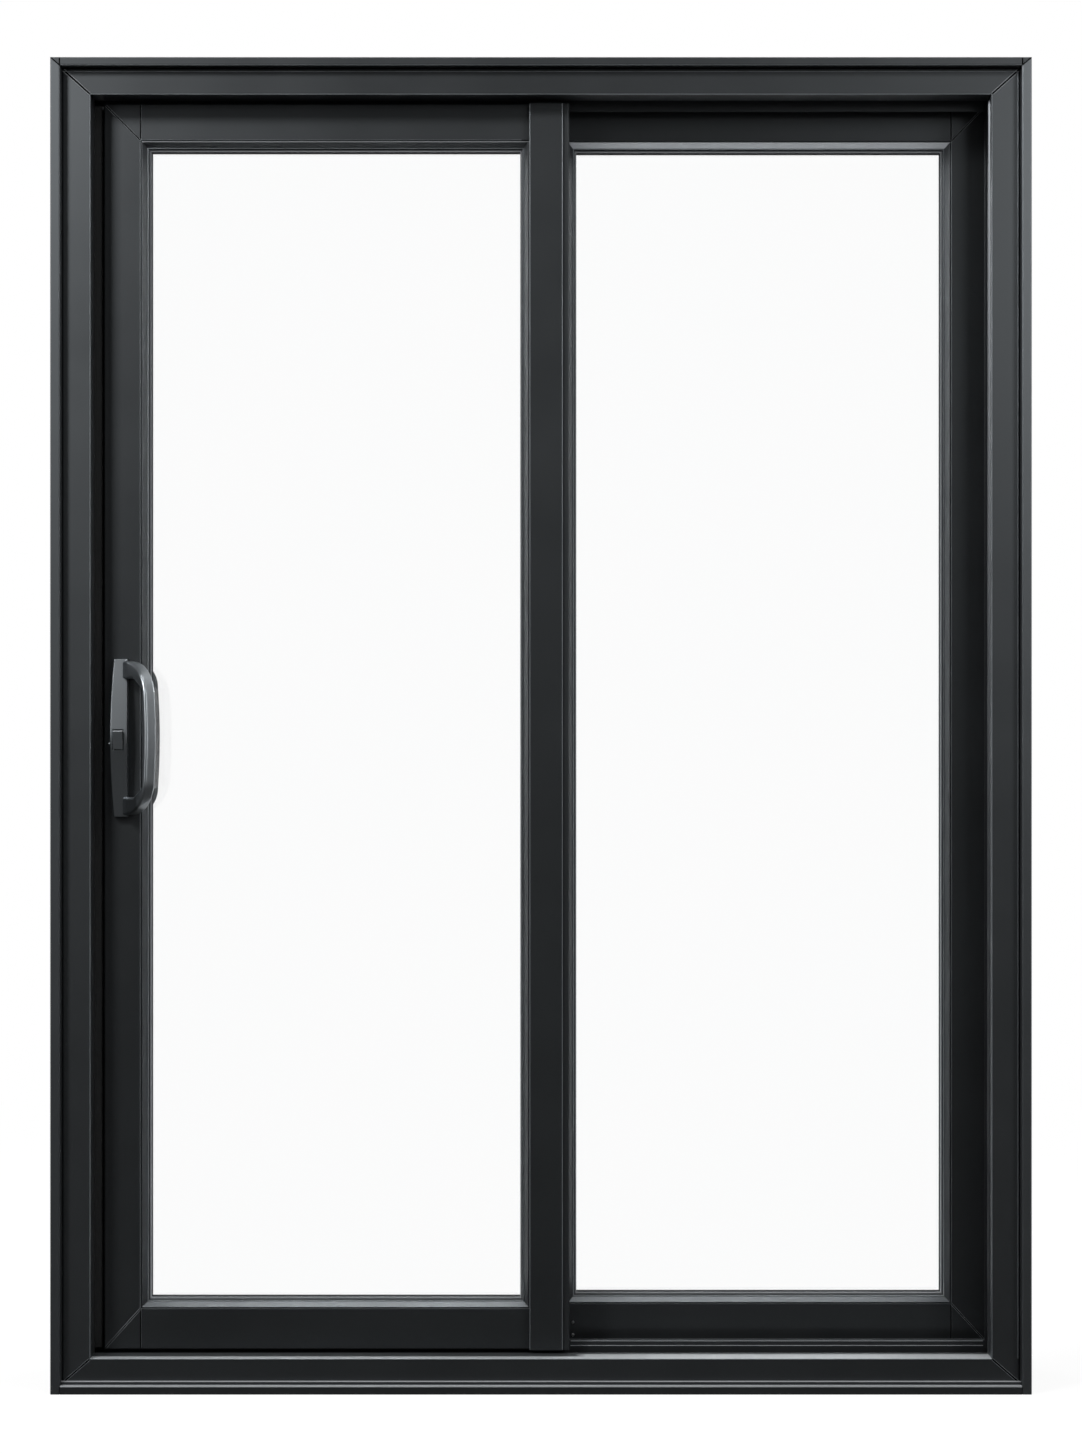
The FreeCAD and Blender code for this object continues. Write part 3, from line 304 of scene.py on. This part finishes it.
# %% Float glass
def float_glass(name, tint):
    """A glass shader, swapped for a see-through one when a lamp's shadow is asked for."""
    material, tree, output = new_material(name)
    place = add_node(tree, "ShaderNodeTexCoord")
    haze = add_node(tree, "ShaderNodeTexNoise", values={"Scale": 1 / 0.35, "Detail": 2.0},
                    links={"Vector": place.outputs["Object"]})
    clean = add_node(tree, "ShaderNodeMapRange", values={"To Min": 0.6, "To Max": 1.0},
                     links={"Value": haze.outputs["Fac"]})
    film = add_node(tree, "ShaderNodeMix", {"data_type": "RGBA"}, links={0: clean.outputs["Result"]})
    film.inputs[6].default_value = linear(tint)
    film.inputs[7].default_value = linear("#ffffff")
    glass = add_node(tree, "ShaderNodeBsdfPrincipled",
                     values={"Roughness": 0.0, "IOR": 1.45, "Transmission Weight": 1.0,
                             "Specular IOR Level": 0.03},
                     links={"Base Color": film.outputs[2]})
    clear = add_node(tree, "ShaderNodeBsdfTransparent")
    ray = add_node(tree, "ShaderNodeLightPath")
    mix = add_node(tree, "ShaderNodeMixShader", links={0: ray.outputs["Is Shadow Ray"],
                                                       1: glass.outputs["BSDF"],
                                                       2: clear.outputs["BSDF"]})
    tree.links.new(mix.outputs["Shader"], output.inputs["Surface"])
    return material


glass_finish = float_glass("clear_float_glass", "#feffff")


# %% [markdown]
# ## Small finishes
# Rubber seals are matt and dusty, the spacer bar between the sheets is dark anodised
# aluminium, the track is mill aluminium with drawing lines along it, and the lock's plates
# are brushed steel. Each gets a noise stretched the way its surface was made.


# %% Drawn metals, rubber and nylon
def drawn_metal(name, colour, dark, rough, grain, along=(1.0, 1.0, 1.0)):
    """Metal with fine lines: noise squeezed across the way that the metal was drawn."""
    material, tree, output = new_material(name)
    place = add_node(tree, "ShaderNodeTexCoord")
    squeeze = add_node(tree, "ShaderNodeMapping", values={"Scale": along},
                       links={"Vector": place.outputs["Object"]})
    lines = add_node(tree, "ShaderNodeTexNoise", values={"Scale": 1 / grain, "Detail": 4.0},
                     links={"Vector": squeeze.outputs["Vector"]})
    tone = add_node(tree, "ShaderNodeMix", {"data_type": "RGBA"}, links={0: lines.outputs["Fac"]})
    tone.inputs[6].default_value = linear(dark)
    tone.inputs[7].default_value = linear(colour)
    spread = add_node(tree, "ShaderNodeMapRange", values={"To Min": rough - 0.08, "To Max": rough + 0.08},
                      links={"Value": lines.outputs["Fac"]})
    shader = add_node(tree, "ShaderNodeBsdfPrincipled", values={"Metallic": 1.0},
                      links={"Base Color": tone.outputs[2], "Roughness": spread.outputs["Result"]})
    tree.links.new(shader.outputs["BSDF"], output.inputs["Surface"])
    return material


def matt_polymer(name, colour, dusty, rough, grain, shine=0.5):
    """Rubber or nylon: two tones by fine noise, a rough skin and a shallow bump."""
    material, tree, output = new_material(name)
    place = add_node(tree, "ShaderNodeTexCoord")
    dust = add_node(tree, "ShaderNodeTexNoise", values={"Scale": 1 / grain, "Detail": 3.0},
                    links={"Vector": place.outputs["Object"]})
    tone = add_node(tree, "ShaderNodeMix", {"data_type": "RGBA"}, links={0: dust.outputs["Fac"]})
    tone.inputs[6].default_value = linear(colour)
    tone.inputs[7].default_value = linear(dusty)
    skin = add_node(tree, "ShaderNodeBump", values={"Strength": 0.3, "Distance": 0.1 * MM},
                    links={"Height": dust.outputs["Fac"]})
    shader = add_node(tree, "ShaderNodeBsdfPrincipled",
                      values={"Roughness": rough, "Specular IOR Level": shine},
                      links={"Base Color": tone.outputs[2], "Normal": skin.outputs["Normal"]})
    tree.links.new(shader.outputs["BSDF"], output.inputs["Surface"])
    return material


spacer_metal = drawn_metal("anodised_spacer_bar", "#5a5c5e", "#3c3e40", 0.45, 0.004, (1, 1, 0.05))
track_metal = drawn_metal("mill_aluminium_track", "#8d8f92", "#6c6e71", 0.35, 0.002, (0.02, 1, 1))
steel = drawn_metal("brushed_steel", "#b4b5b7", "#8f9093", 0.32, 0.0015, (1, 1, 0.04))
rubber = matt_polymer("black_seal_rubber", "#121314", "#1d1e1f", 0.75, 0.006)
gasket_rubber = matt_polymer("grey_glazing_rubber", "#5c5f62", "#6a6d70", 0.6, 0.005)
sealant = matt_polymer("dark_joint_sealant", "#010101", "#040404", 0.9, 0.003, 0.05)
strip_metal = drawn_metal("satin_aluminium_strip", "#6a6d70", "#54575a", 0.42, 0.002, (1, 1, 0.04))
nylon = matt_polymer("black_nylon", "#1c1d1e", "#27282a", 0.55, 0.004)

# %% [markdown]
# ## Giving each node its finish
# The frame's meshes stay as they are. Only the material in their slot changes, found from the
# node's name.

# %% Finish for each node
finishes = {
    "left_trim": trim_coat, "right_trim": right_trim_coat, "pane": glass_finish, "spacer": spacer_metal,
    "seal": rubber, "strip": strip_metal, "left_jamb": jamb_coat, "right_jamb": right_jamb_coat,
    "fixed_top_bead": far_bead_painted_reflection_coat, "bead": bead_coat, "sill": sill_coat,
    "roller": nylon, "track": track_metal, "keeper": steel, "faceplate": steel,
    "front_handle": handle_coat, "back_handle": outer_coat, "latch": latch_coat,
    "slide": sash_coat, "fixed": sash_coat,
}
for name, node in nodes.items():
    finish = next((finishes[key] for key in finishes if key in name), frame_coat)
    node.data.materials.clear()
    node.data.materials.append(finish)
print("finishes set on", len(nodes), "nodes")

# %% [markdown]
# ## Making a piece from numpy
# Every new piece is a set of corner points and faces worked out as whole arrays. Its faces
# must point outwards, or glossy light and the export go wrong. The signed volume of a closed
# mesh tells which way they point: where it comes out negative, every face is turned over.


# %% Piece helper
def new_piece(name, points, faces, finish, body, smooth=False):
    """Mesh object from point and face arrays; volume = sum(a . (b x c))/6 over the triangles."""
    points, faces = np.asarray(points, float).reshape(-1, 3), np.asarray(faces)
    fan = [faces[:, [0, i, i + 1]] for i in range(1, faces.shape[1] - 1)]
    a, b, c = points[np.concatenate(fan)].transpose(1, 0, 2)
    if np.einsum("ij,ij->", a, np.cross(b, c)) < 0:
        faces = faces[:, ::-1]
    mesh = bpy.data.meshes.new(name)
    mesh.from_pydata(points.tolist(), [], faces.tolist())
    mesh.polygons.foreach_set("use_smooth", np.full(len(faces), smooth))
    mesh.materials.append(finish)
    piece = bpy.data.objects.new(name, mesh)
    bpy.context.collection.objects.link(piece)
    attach(piece, body)
    return piece


# %% [markdown]
# ## Glazing gaskets
# A rubber gasket runs round each sheet, between the glass and the ledge that holds it. From
# the front it is the thin grey line beside the glass. It is one small rounded profile carried
# round a rectangle and mitred at the corners, so each corner needs no more than the profile
# shifted inwards both ways.


# %% Gaskets round the glass
def carried_round(low, high, profile):
    """Profile (inward, y) round the rectangle low-high in X and Z: x = edge +- inward, same for z."""
    inward, deep = np.asarray(profile).T
    corner = np.array([[0, 0], [1, 0], [1, 1], [0, 1]])
    edge = np.where(corner == 1, high, low)
    way = np.where(corner == 1, -1, 1)
    x = edge[:, :1] + way[:, :1] * inward
    z = edge[:, 1:] + way[:, 1:] * inward
    points = np.stack([x, np.broadcast_to(deep, x.shape), z], axis=-1)
    index = np.arange(x.size).reshape(x.shape)
    across = np.roll(index, -1, axis=0)
    faces = np.stack([index, np.roll(index, -1, axis=1), np.roll(across, -1, axis=1), across], axis=-1)
    return points, faces.reshape(-1, 4)


def gasket_profile(start, stop, glass_y, proud, steps=9):
    """Half an ellipse on the glass: inward = middle - r cos t, y = glass - proud sin t."""
    t = np.linspace(0, np.pi, steps)
    middle, reach = (start + stop) / 2, (stop - start) / 2
    return np.stack([middle - reach * np.cos(t), glass_y - proud * np.sin(t)], axis=-1)


BEAD_RIM, BEAD_WIDE = 10.7 * MM, 12.5 * MM
GASKET_REACH = 2.2 * MM
for panel, body in (("slide", "sliding_panel"), ("fixed", "frame")):
    left_low, left_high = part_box(f"{panel}_left_bead")
    right_low, right_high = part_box(f"{panel}_right_bead")
    low = np.array([left_low[0], left_low[2]])
    high = np.array([right_high[0], left_high[2]])
    pane_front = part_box(f"{panel}_front_pane")[0][1]
    pane_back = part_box(f"{panel}_back_pane")[1][1]
    for side, glass_y, start, proud in (("front", pane_front, BEAD_RIM + 0.2 * MM, 2.4 * MM),
                                        ("back", pane_back, BEAD_WIDE + 0.1 * MM, -2.0 * MM)):
        profile = gasket_profile(start, BEAD_WIDE + GASKET_REACH, glass_y, proud)
        points, faces = carried_round(low, high, profile)
        new_piece(f"{panel}_{side}_gasket", points, faces, gasket_rubber, body, smooth=True)
print("gaskets round", BEAD_WIDE + GASKET_REACH, "m inside each opening")

# %% [markdown]
# ## Joint lines
# The members meet in mitred and butted joints, closed with a dark sealant that stays just
# visible. The solids meet without a gap there, so each line is a sliver of sealant that lies
# on the face: a flat lens in section, less than a millimetre wide.


# %% Sealant lines
LENS_STEPS = 6
LENS_CAP = np.array([[0, 1, 2, 5], [2, 3, 4, 5]])


def sealant_line(starts, ends, wide, rise, steps=LENS_STEPS):
    """Lens of height rise (1 - s*s) across s in -1..1, from each start to its end, on a -Y face."""
    starts, ends = np.asarray(starts, float), np.asarray(ends, float)
    way = ends - starts
    way /= np.linalg.norm(way, axis=1, keepdims=True)
    across = np.stack([way[:, 2], np.zeros(len(way)), -way[:, 0]], axis=-1)
    s = np.linspace(-1, 1, steps)
    lift = np.stack([np.zeros(steps), -rise * (1 - s * s), np.zeros(steps)], axis=-1)
    ring = across[:, None] * s[None, :, None] * wide / 2 + lift[None]
    points = np.stack([starts[:, None] + ring, ends[:, None] + ring], axis=1)
    index = np.arange(points.size // 3).reshape(points.shape[:3])
    near, far = index[:, 0], index[:, 1]
    sides = np.stack([near, np.roll(near, -1, axis=1), np.roll(far, -1, axis=1), far], axis=-1)
    faces = np.concatenate([sides, near[:, LENS_CAP[:, ::-1]], far[:, LENS_CAP]], axis=1)
    return points, faces.reshape(-1, 4)


def face_lines(name, pairs, y, wide, body, finish=sealant, rise=0.05 * MM, shift=0.0):
    """Lens strips between pairs of (x, z) points on the face at y, shifted sideways."""
    pairs = np.asarray(pairs, float)
    way = pairs[:, 1] - pairs[:, 0]
    way /= np.linalg.norm(way, axis=1, keepdims=True)
    pairs = pairs + shift * np.stack([way[:, 1], -way[:, 0]], axis=-1)[:, None]
    ends = np.stack([pairs[..., 0], np.full(pairs.shape[:2], y), pairs[..., 1]], axis=-1)
    points, faces = sealant_line(ends[:, 0], ends[:, 1], wide, rise)
    return new_piece(name, points, faces, finish, body)


def joint_lines(name, pairs, y, wide, edge, body, finish=bright_edge_painted_highlight, sides=("left", "right")):
    """A dark sealant line with the rounded edge of a member on one or both sides of it; those edges are pale as
    a painted highlight.
    """
    face_lines(f"{name}_sealant", pairs, y, wide, body)
    for side in sides:
        shift = (wide + edge) / 2 * (1 if side == "right" else -1)
        face_lines(f"{name}_{side}_edges", pairs, y, edge, body, finish, 0.08 * MM, shift)


stile_low, stile_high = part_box("slide_lock_stile")
opening_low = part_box("slide_left_bead")[0]
opening_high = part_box("slide_right_bead")[1]
inner = (opening_low[0], opening_low[2])
upper = (opening_low[0], opening_high[2])
joint_lines("slide_mitres", [
    ((stile_low[0] + 2 * MM, stile_low[2] + 2 * MM), inner),
    (upper, (stile_low[0] + 2 * MM, stile_high[2] - 2 * MM)),
], stile_low[1], 1.8 * MM, 0.7 * MM, "sliding_panel")
joint_lines("slide_butts", [
    ((inner[0], stile_low[2] + MM), inner),
    (upper, (upper[0], stile_high[2] - MM)),
], stile_low[1], 2.0 * MM, 0.6 * MM, "sliding_panel", edge_painted_highlight, ["right"])
stile_low, stile_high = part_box("fixed_jamb_stile")
fixed_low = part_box("fixed_left_bead")[0]
fixed_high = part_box("fixed_right_bead")[1]
inner = (fixed_high[0], fixed_low[2])
upper = (fixed_high[0], fixed_high[2])
joint_lines("fixed_mitres", [
    ((stile_high[0] - 2 * MM, stile_low[2] + 2 * MM), inner),
    (upper, (stile_high[0] - 2 * MM, stile_high[2] - 2 * MM)),
], stile_low[1], 1.6 * MM, 0.6 * MM, "frame")
joint_lines("fixed_butts", [
    ((inner[0], stile_low[2] + 2.5 * MM), inner),
    (upper, (upper[0], stile_high[2] - MM)),
], stile_low[1], 1.8 * MM, 0.5 * MM, "frame", edge_painted_highlight, ["right"])
butt = fixed_low[0]
face_lines("fixed_butt_lines", [
    ((butt, stile_low[2] + 2.5 * MM), (butt, fixed_low[2])),
    ((butt, fixed_high[2]), (butt, stile_high[2] - MM)),
], stile_low[1], 0.7 * MM, "frame")
jamb_low, jamb_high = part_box("left_jamb")
right_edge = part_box("right_jamb")[1][0]
TRIM_SIDE, TRIM_TALL, GROOVE = 15.0 * MM, 13.0 * MM, 3.0 * MM
LIP_SIDE, LIP_HEAD, LIP_SILL = 59.5 * MM, 54.3 * MM, 51.6 * MM
outer = TRIM_SIDE + GROOVE
near_lip = LIP_SIDE - 1.5 * MM
low_rise, high_rise = LIP_SILL / LIP_SIDE, LIP_HEAD / LIP_SIDE
unit_high = jamb_high[2]
frame_corners, trim_corners, trim_stubs = [], [], []
for edge, way in ((jamb_low[0], 1), (right_edge, -1)):
    frame_corners.append(((edge + way * outer, outer * low_rise), (edge + way * near_lip, near_lip * low_rise)))
    frame_corners.append(((edge + way * near_lip, unit_high - near_lip * high_rise),
                          (edge + way * outer, unit_high - outer * high_rise)))
    trim_corners.append(((edge + way * MM, unit_high - MM),
                         (edge + way * (TRIM_SIDE - 0.5 * MM), unit_high - TRIM_TALL + 0.5 * MM)))
    trim_stubs.append(((edge + way * (TRIM_SIDE - 0.5 * MM), unit_high - MM),
                       (edge + way * (TRIM_SIDE - 0.5 * MM), unit_high - TRIM_TALL + MM)))
joint_lines("frame_low_mitres", frame_corners[0::2], jamb_low[1], 2.4 * MM, 0.8 * MM, "frame", edge_painted_highlight)
joint_lines("frame_high_mitres", frame_corners[1::2], jamb_low[1], 2.4 * MM, 1.4 * MM, "frame")
trim_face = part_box("left_trim")[0][1]
face_lines("trim_joints", trim_corners, trim_face, 2.0 * MM, "frame", rise=0.2 * MM)
face_lines("trim_stub_lines", trim_stubs, trim_face, 2.0 * MM, "frame", rise=0.2 * MM)
print("joint lines on the frame, its trims and both panels")

# %% [markdown]
# ## Rounded edges with painted highlights
# An extrusion's long edges aren't knife sharp. They are rounded by a fraction of a millimetre,
# and the coat on that round catches the lamps as one thin pale line. The solids have sharp
# edges, so each such line is a slim lens just inside the edge. Its curve catches the lamps,
# and its pale colour is a painted highlight.

# %% Edge lines along the members
EDGE_WIDE, EDGE_RISE = 1.3 * MM, 0.2 * MM


def edge_lines(name, pairs, y, body, wide=EDGE_WIDE, finish=edge_painted_highlight):
    """Rounded edge lenses between pairs of (x, z) points on the face at y, pale as a painted highlight."""
    return face_lines(name, pairs, y, wide, body, finish, EDGE_RISE)


half = EDGE_WIDE / 2
lip_x, lip_top, lip_low = right_edge - LIP_SIDE + half, unit_high - LIP_HEAD + half, LIP_SILL - half
groove_x, groove_top = right_edge - outer - half, unit_high - TRIM_TALL - 5 * MM - half
edge_lines("frame_edges", [
    ((-lip_x, lip_low), (-lip_x, lip_top)), ((lip_x, lip_low), (lip_x, lip_top)),
    ((-lip_x, lip_top), (lip_x, lip_top)), ((-lip_x, lip_low), (lip_x, lip_low)),
    ((groove_x, LIP_SILL), (groove_x, groove_top)), ((-groove_x, groove_top), (groove_x, groove_top)),
], jamb_low[1], "frame")
trim_side, trim_bottom = right_edge - TRIM_SIDE, unit_high - TRIM_TALL + 0.8 * MM
edge_lines("head_trim_edge", [((-trim_side, trim_bottom), (trim_side, trim_bottom))],
           trim_face + 0.6 * MM, "frame")
slide_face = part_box("slide_lock_stile")[0][1]
meet_low, meet_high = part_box("slide_meeting_stile")
edge_lines("slide_edges", [
    ((opening_low[0] - half, opening_low[2]), (opening_low[0] - half, opening_high[2])),
    ((opening_low[0], opening_high[2] + half), (meet_low[0], opening_high[2] + half)),
], slide_face, "sliding_panel", 0.9 * MM)
edge_lines("slide_meeting_edges", [
    ((opening_high[0] + half, meet_low[2] + MM), (opening_high[0] + half, meet_high[2] - MM)),
    ((meet_high[0] - half, meet_low[2] + MM), (meet_high[0] - half, meet_high[2] - MM)),
], meet_low[1], "sliding_panel")
edge_lines("fixed_edges", [
    ((fixed_high[0] + half, fixed_low[2]), (fixed_high[0] + half, fixed_high[2])),
], stile_low[1], "frame", 0.9 * MM)
track_low, track_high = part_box("sill_track")
TRACK_HALF = 1.5 * MM
# The track's two pale lines are painted highlights along its ribs.
edge_lines("track_lines", [
    ((fixed_low[0] + 5 * MM, track_high[2] - drop), (track_high[0] - 3 * MM, track_high[2] - drop))
    for drop in (1.6 * MM, 8.8 * MM)
], (track_low[1] + track_high[1]) / 2 - TRACK_HALF, "frame", finish=bright_edge_painted_highlight)
near_bead_low, near_bead_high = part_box("slide_top_bead")
CREST, RIM_START, RIM_STOP, RIM_BACK = 2.1 * MM, 9.3 * MM, 10.6 * MM, 9.0 * MM
# A painted highlight along the crest of the sliding panel's top bead.
edge_lines("slide_top_bead_crest", [
    ((near_bead_low[0] + CREST, near_bead_high[2] - CREST), (near_bead_high[0], near_bead_high[2] - CREST)),
], near_bead_low[1], "sliding_panel", finish=bright_edge_painted_highlight)
# A pale rim round each bead: a painted highlight on its rounded rim.
for panel, body in (("slide", "sliding_panel"), ("fixed", "frame")):
    low_corner = np.array(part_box(f"{panel}_left_bead")[0])
    high_corner = np.array(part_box(f"{panel}_right_bead")[1])
    profile = gasket_profile(RIM_START, RIM_STOP, low_corner[1] + RIM_BACK, 0.4 * MM, 7)
    points, faces = carried_round(low_corner[[0, 2]], high_corner[[0, 2]], profile)
    new_piece(f"{panel}_bead_rim", points, faces, edge_painted_highlight, body, smooth=True)
print("edge lines", EDGE_WIDE, "m wide")

# %% [markdown]
# ## Screws in the fixed panel
# Two small dome-headed screws hold the fixed panel's bottom rail beside the interlock. Each
# head is a cap of a sphere: rings of points whose height falls as the square root does.


# %% Screw heads
def dome_heads(centres, radius, rise, rings=5, around=16):
    """Caps with y = y0 - rise sqrt(1 - (r/R)^2) round each (x, y0, z), closed at the back."""
    part = np.linspace(1, 0.12, rings)
    turn = np.arange(around) * 2 * np.pi / around
    flat = radius * part[:, None, None] * np.stack([np.cos(turn), np.sin(turn)], axis=-1)
    deep = np.broadcast_to(-rise * np.sqrt(1 - part[:, None] ** 2), flat.shape[:2])
    caps = np.stack([flat[..., 0], deep, flat[..., 1]], axis=-1).reshape(-1, 3)
    body = np.concatenate([caps, [[0, 0, 0], [0, -rise, 0]]])
    index = np.arange(rings * around).reshape(rings, around)
    turned = np.roll(index, -1, axis=1)
    back, front = np.full(around, rings * around), np.full(around, rings * around + 1)
    faces = np.concatenate([
        np.stack([index[:-1], turned[:-1], turned[1:]], axis=-1).reshape(-1, 3),
        np.stack([index[:-1], turned[1:], index[1:]], axis=-1).reshape(-1, 3),
        np.stack([turned[0], index[0], back], axis=-1),
        np.stack([index[-1], turned[-1], front], axis=-1)])
    points = np.asarray(centres, float)[:, None] + body[None]
    step = np.arange(len(points))[:, None, None] * len(body)
    return points.reshape(-1, 3), (faces[None] + step).reshape(-1, 3)


SCREW_X, SCREW_HEIGHTS = 50.5 * MM, (66.5 * MM, 86.5 * MM)
points, faces = dome_heads([(SCREW_X, stile_low[1], z) for z in SCREW_HEIGHTS], 2.6 * MM, 1.4 * MM)
new_piece("fixed_rail_screws", points, faces, steel, "frame", smooth=True)
print("screw heads", len(SCREW_HEIGHTS))

# %% [markdown]
# ## Studio
# The floor is pale and the background white. Camera and glass rays see them at full white,
# and mirror rays see white behind the door and dusk before it. The floor mixes in some real
# diffuse light so that the door keeps its shadow.


# %% Floor and world
def studio_floor(dusk):
    """A wide pale sheet: mostly white by itself, partly lit, so that shadows show."""
    corners = np.array([[-1, -1, 0], [1, -1, 0], [1, 1, 0], [-1, 1, 0]]) * 30.0
    mesh = bpy.data.meshes.new("floor")
    mesh.from_pydata(corners.tolist(), [], [(0, 1, 2, 3)])
    floor = bpy.data.objects.new("floor", mesh)
    bpy.context.collection.objects.link(floor)
    material, tree, output = new_material("pale_studio_floor")
    ray = add_node(tree, "ShaderNodeLightPath")
    place = add_node(tree, "ShaderNodeTexCoord")
    reach = add_node(tree, "ShaderNodeVectorMath", {"operation": "LENGTH"},
                     links={0: place.outputs["Object"]})
    fade = add_node(tree, "ShaderNodeMapRange", {"interpolation_type": "SMOOTHSTEP"},
                    values={"From Min": 0.4, "From Max": 3.0, "To Min": 0.88, "To Max": 1.0},
                    links={"Value": reach.outputs["Value"]})
    seen = add_node(tree, "ShaderNodeMath", {"operation": "MAXIMUM"},
                    links={0: ray.outputs["Is Camera Ray"], 1: ray.outputs["Is Transmission Ray"]})
    share = add_node(tree, "ShaderNodeMath", {"operation": "MULTIPLY"},
                     links={0: seen.outputs[0], 1: fade.outputs["Result"]})
    share = add_node(tree, "ShaderNodeMath", {"operation": "MAXIMUM"},
                     links={0: share.outputs[0], 1: ray.outputs["Is Glossy Ray"]})
    side = add_node(tree, "ShaderNodeSeparateXYZ", links={0: place.outputs["Object"]})
    front = add_node(tree, "ShaderNodeMapRange",
                     values={"From Min": -0.05, "From Max": 0.25, "To Min": dusk, "To Max": 1.0},
                     links={"Value": side.outputs["Y"]})
    strength = add_node(tree, "ShaderNodeMath", {"operation": "MAXIMUM"},
                        links={0: seen.outputs[0], 1: front.outputs["Result"]})
    matt = add_node(tree, "ShaderNodeBsdfDiffuse", values={"Color": linear("#f4f4f4")})
    glow = add_node(tree, "ShaderNodeEmission", links={"Strength": strength.outputs[0]})
    mix = add_node(tree, "ShaderNodeMixShader", links={0: share.outputs[0], 1: matt.outputs["BSDF"],
                                                       2: glow.outputs["Emission"]})
    tree.links.new(mix.outputs["Shader"], output.inputs["Surface"])
    mesh.materials.append(material)
    floor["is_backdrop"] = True
    return floor


def studio_world(backdrop, front, ambient):
    """White for camera and glass rays; glossy rays see white behind the door and dusk before it."""
    world = bpy.data.worlds.new("studio")
    world.use_nodes = True
    bpy.context.scene.world = world
    tree = world.node_tree
    tree.nodes.clear()
    ray = add_node(tree, "ShaderNodeLightPath")
    place = add_node(tree, "ShaderNodeTexCoord")
    split = add_node(tree, "ShaderNodeSeparateXYZ", links={0: place.outputs["Generated"]})
    behind = add_node(tree, "ShaderNodeMapRange",
                      values={"From Min": -0.1, "From Max": 0.1, "To Min": front, "To Max": backdrop},
                      links={"Value": split.outputs["Y"]})
    soft = add_node(tree, "ShaderNodeMix", values={"A": ambient},
                    links={"Factor": ray.outputs["Is Glossy Ray"], "B": behind.outputs["Result"]})
    seen = add_node(tree, "ShaderNodeMath", {"operation": "MAXIMUM"},
                    links={0: ray.outputs["Is Camera Ray"], 1: ray.outputs["Is Transmission Ray"]})
    strong = add_node(tree, "ShaderNodeMath", {"operation": "MAXIMUM"},
                      links={0: seen.outputs[0], 1: soft.outputs["Result"]})
    light = add_node(tree, "ShaderNodeBackground", values={"Color": (1, 1, 1, 1)},
                     links={"Strength": strong.outputs[0]})
    output = add_node(tree, "ShaderNodeOutputWorld")
    tree.links.new(light.outputs["Background"], output.inputs["Surface"])


DUSK = 0.05
studio_floor(DUSK)
studio_world(1.0, DUSK, 0.35)


# %% Soft lamps
def softbox(name, place, target, size, power):
    """A rectangular lamp at a place, turned to face a target."""
    data = bpy.data.lights.new(name, "AREA")
    data.shape = "RECTANGLE"
    data.size, data.size_y = size
    data.energy = power
    lamp = bpy.data.objects.new(name, data)
    lamp.location = place
    way = np.subtract(target, place)
    flat = math.hypot(way[0], way[1])
    lamp.rotation_euler = (math.atan2(flat, -way[2]), 0.0, math.atan2(way[1], way[0]) - math.pi / 2)
    bpy.context.collection.objects.link(lamp)
    return lamp


softbox("key_left", (-2.629, -2.229, 3.963), (-0.4, 0, 1.5), (0.8, 0.8), 126)
softbox("low_left", (-3.09, -2.69, 2.736), (-0.4, 0, 1.5), (0.8, 1.2), 22)
softbox("high_right", (2.629, -2.229, 3.963), (0.4, 0, 1.5), (0.8, 0.8), 38)
softbox("low_right", (3.09, -2.69, 2.736), (0.4, 0, 1.5), (0.8, 1.2), 22)
softbox("near_right", (2.025, -3.485, 2.603), (0.4, 0, 1.5), (1.0, 1.4), 10)
softbox("overhead", (0, -0.3, 4.3), (0, -0.1, 1.0), (2.6, 0.25), 38)
softbox("back_left", (-2.6, 2.6, 3.4), (-0.4, 0, 1.2), (1.0, 1.4), 60)
softbox("back_right", (2.6, 2.6, 3.4), (0.4, 0, 1.2), (1.0, 1.4), 60)
bpy.context.scene.view_settings.view_transform = "Standard"

# %% The dressed door's box
low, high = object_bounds()
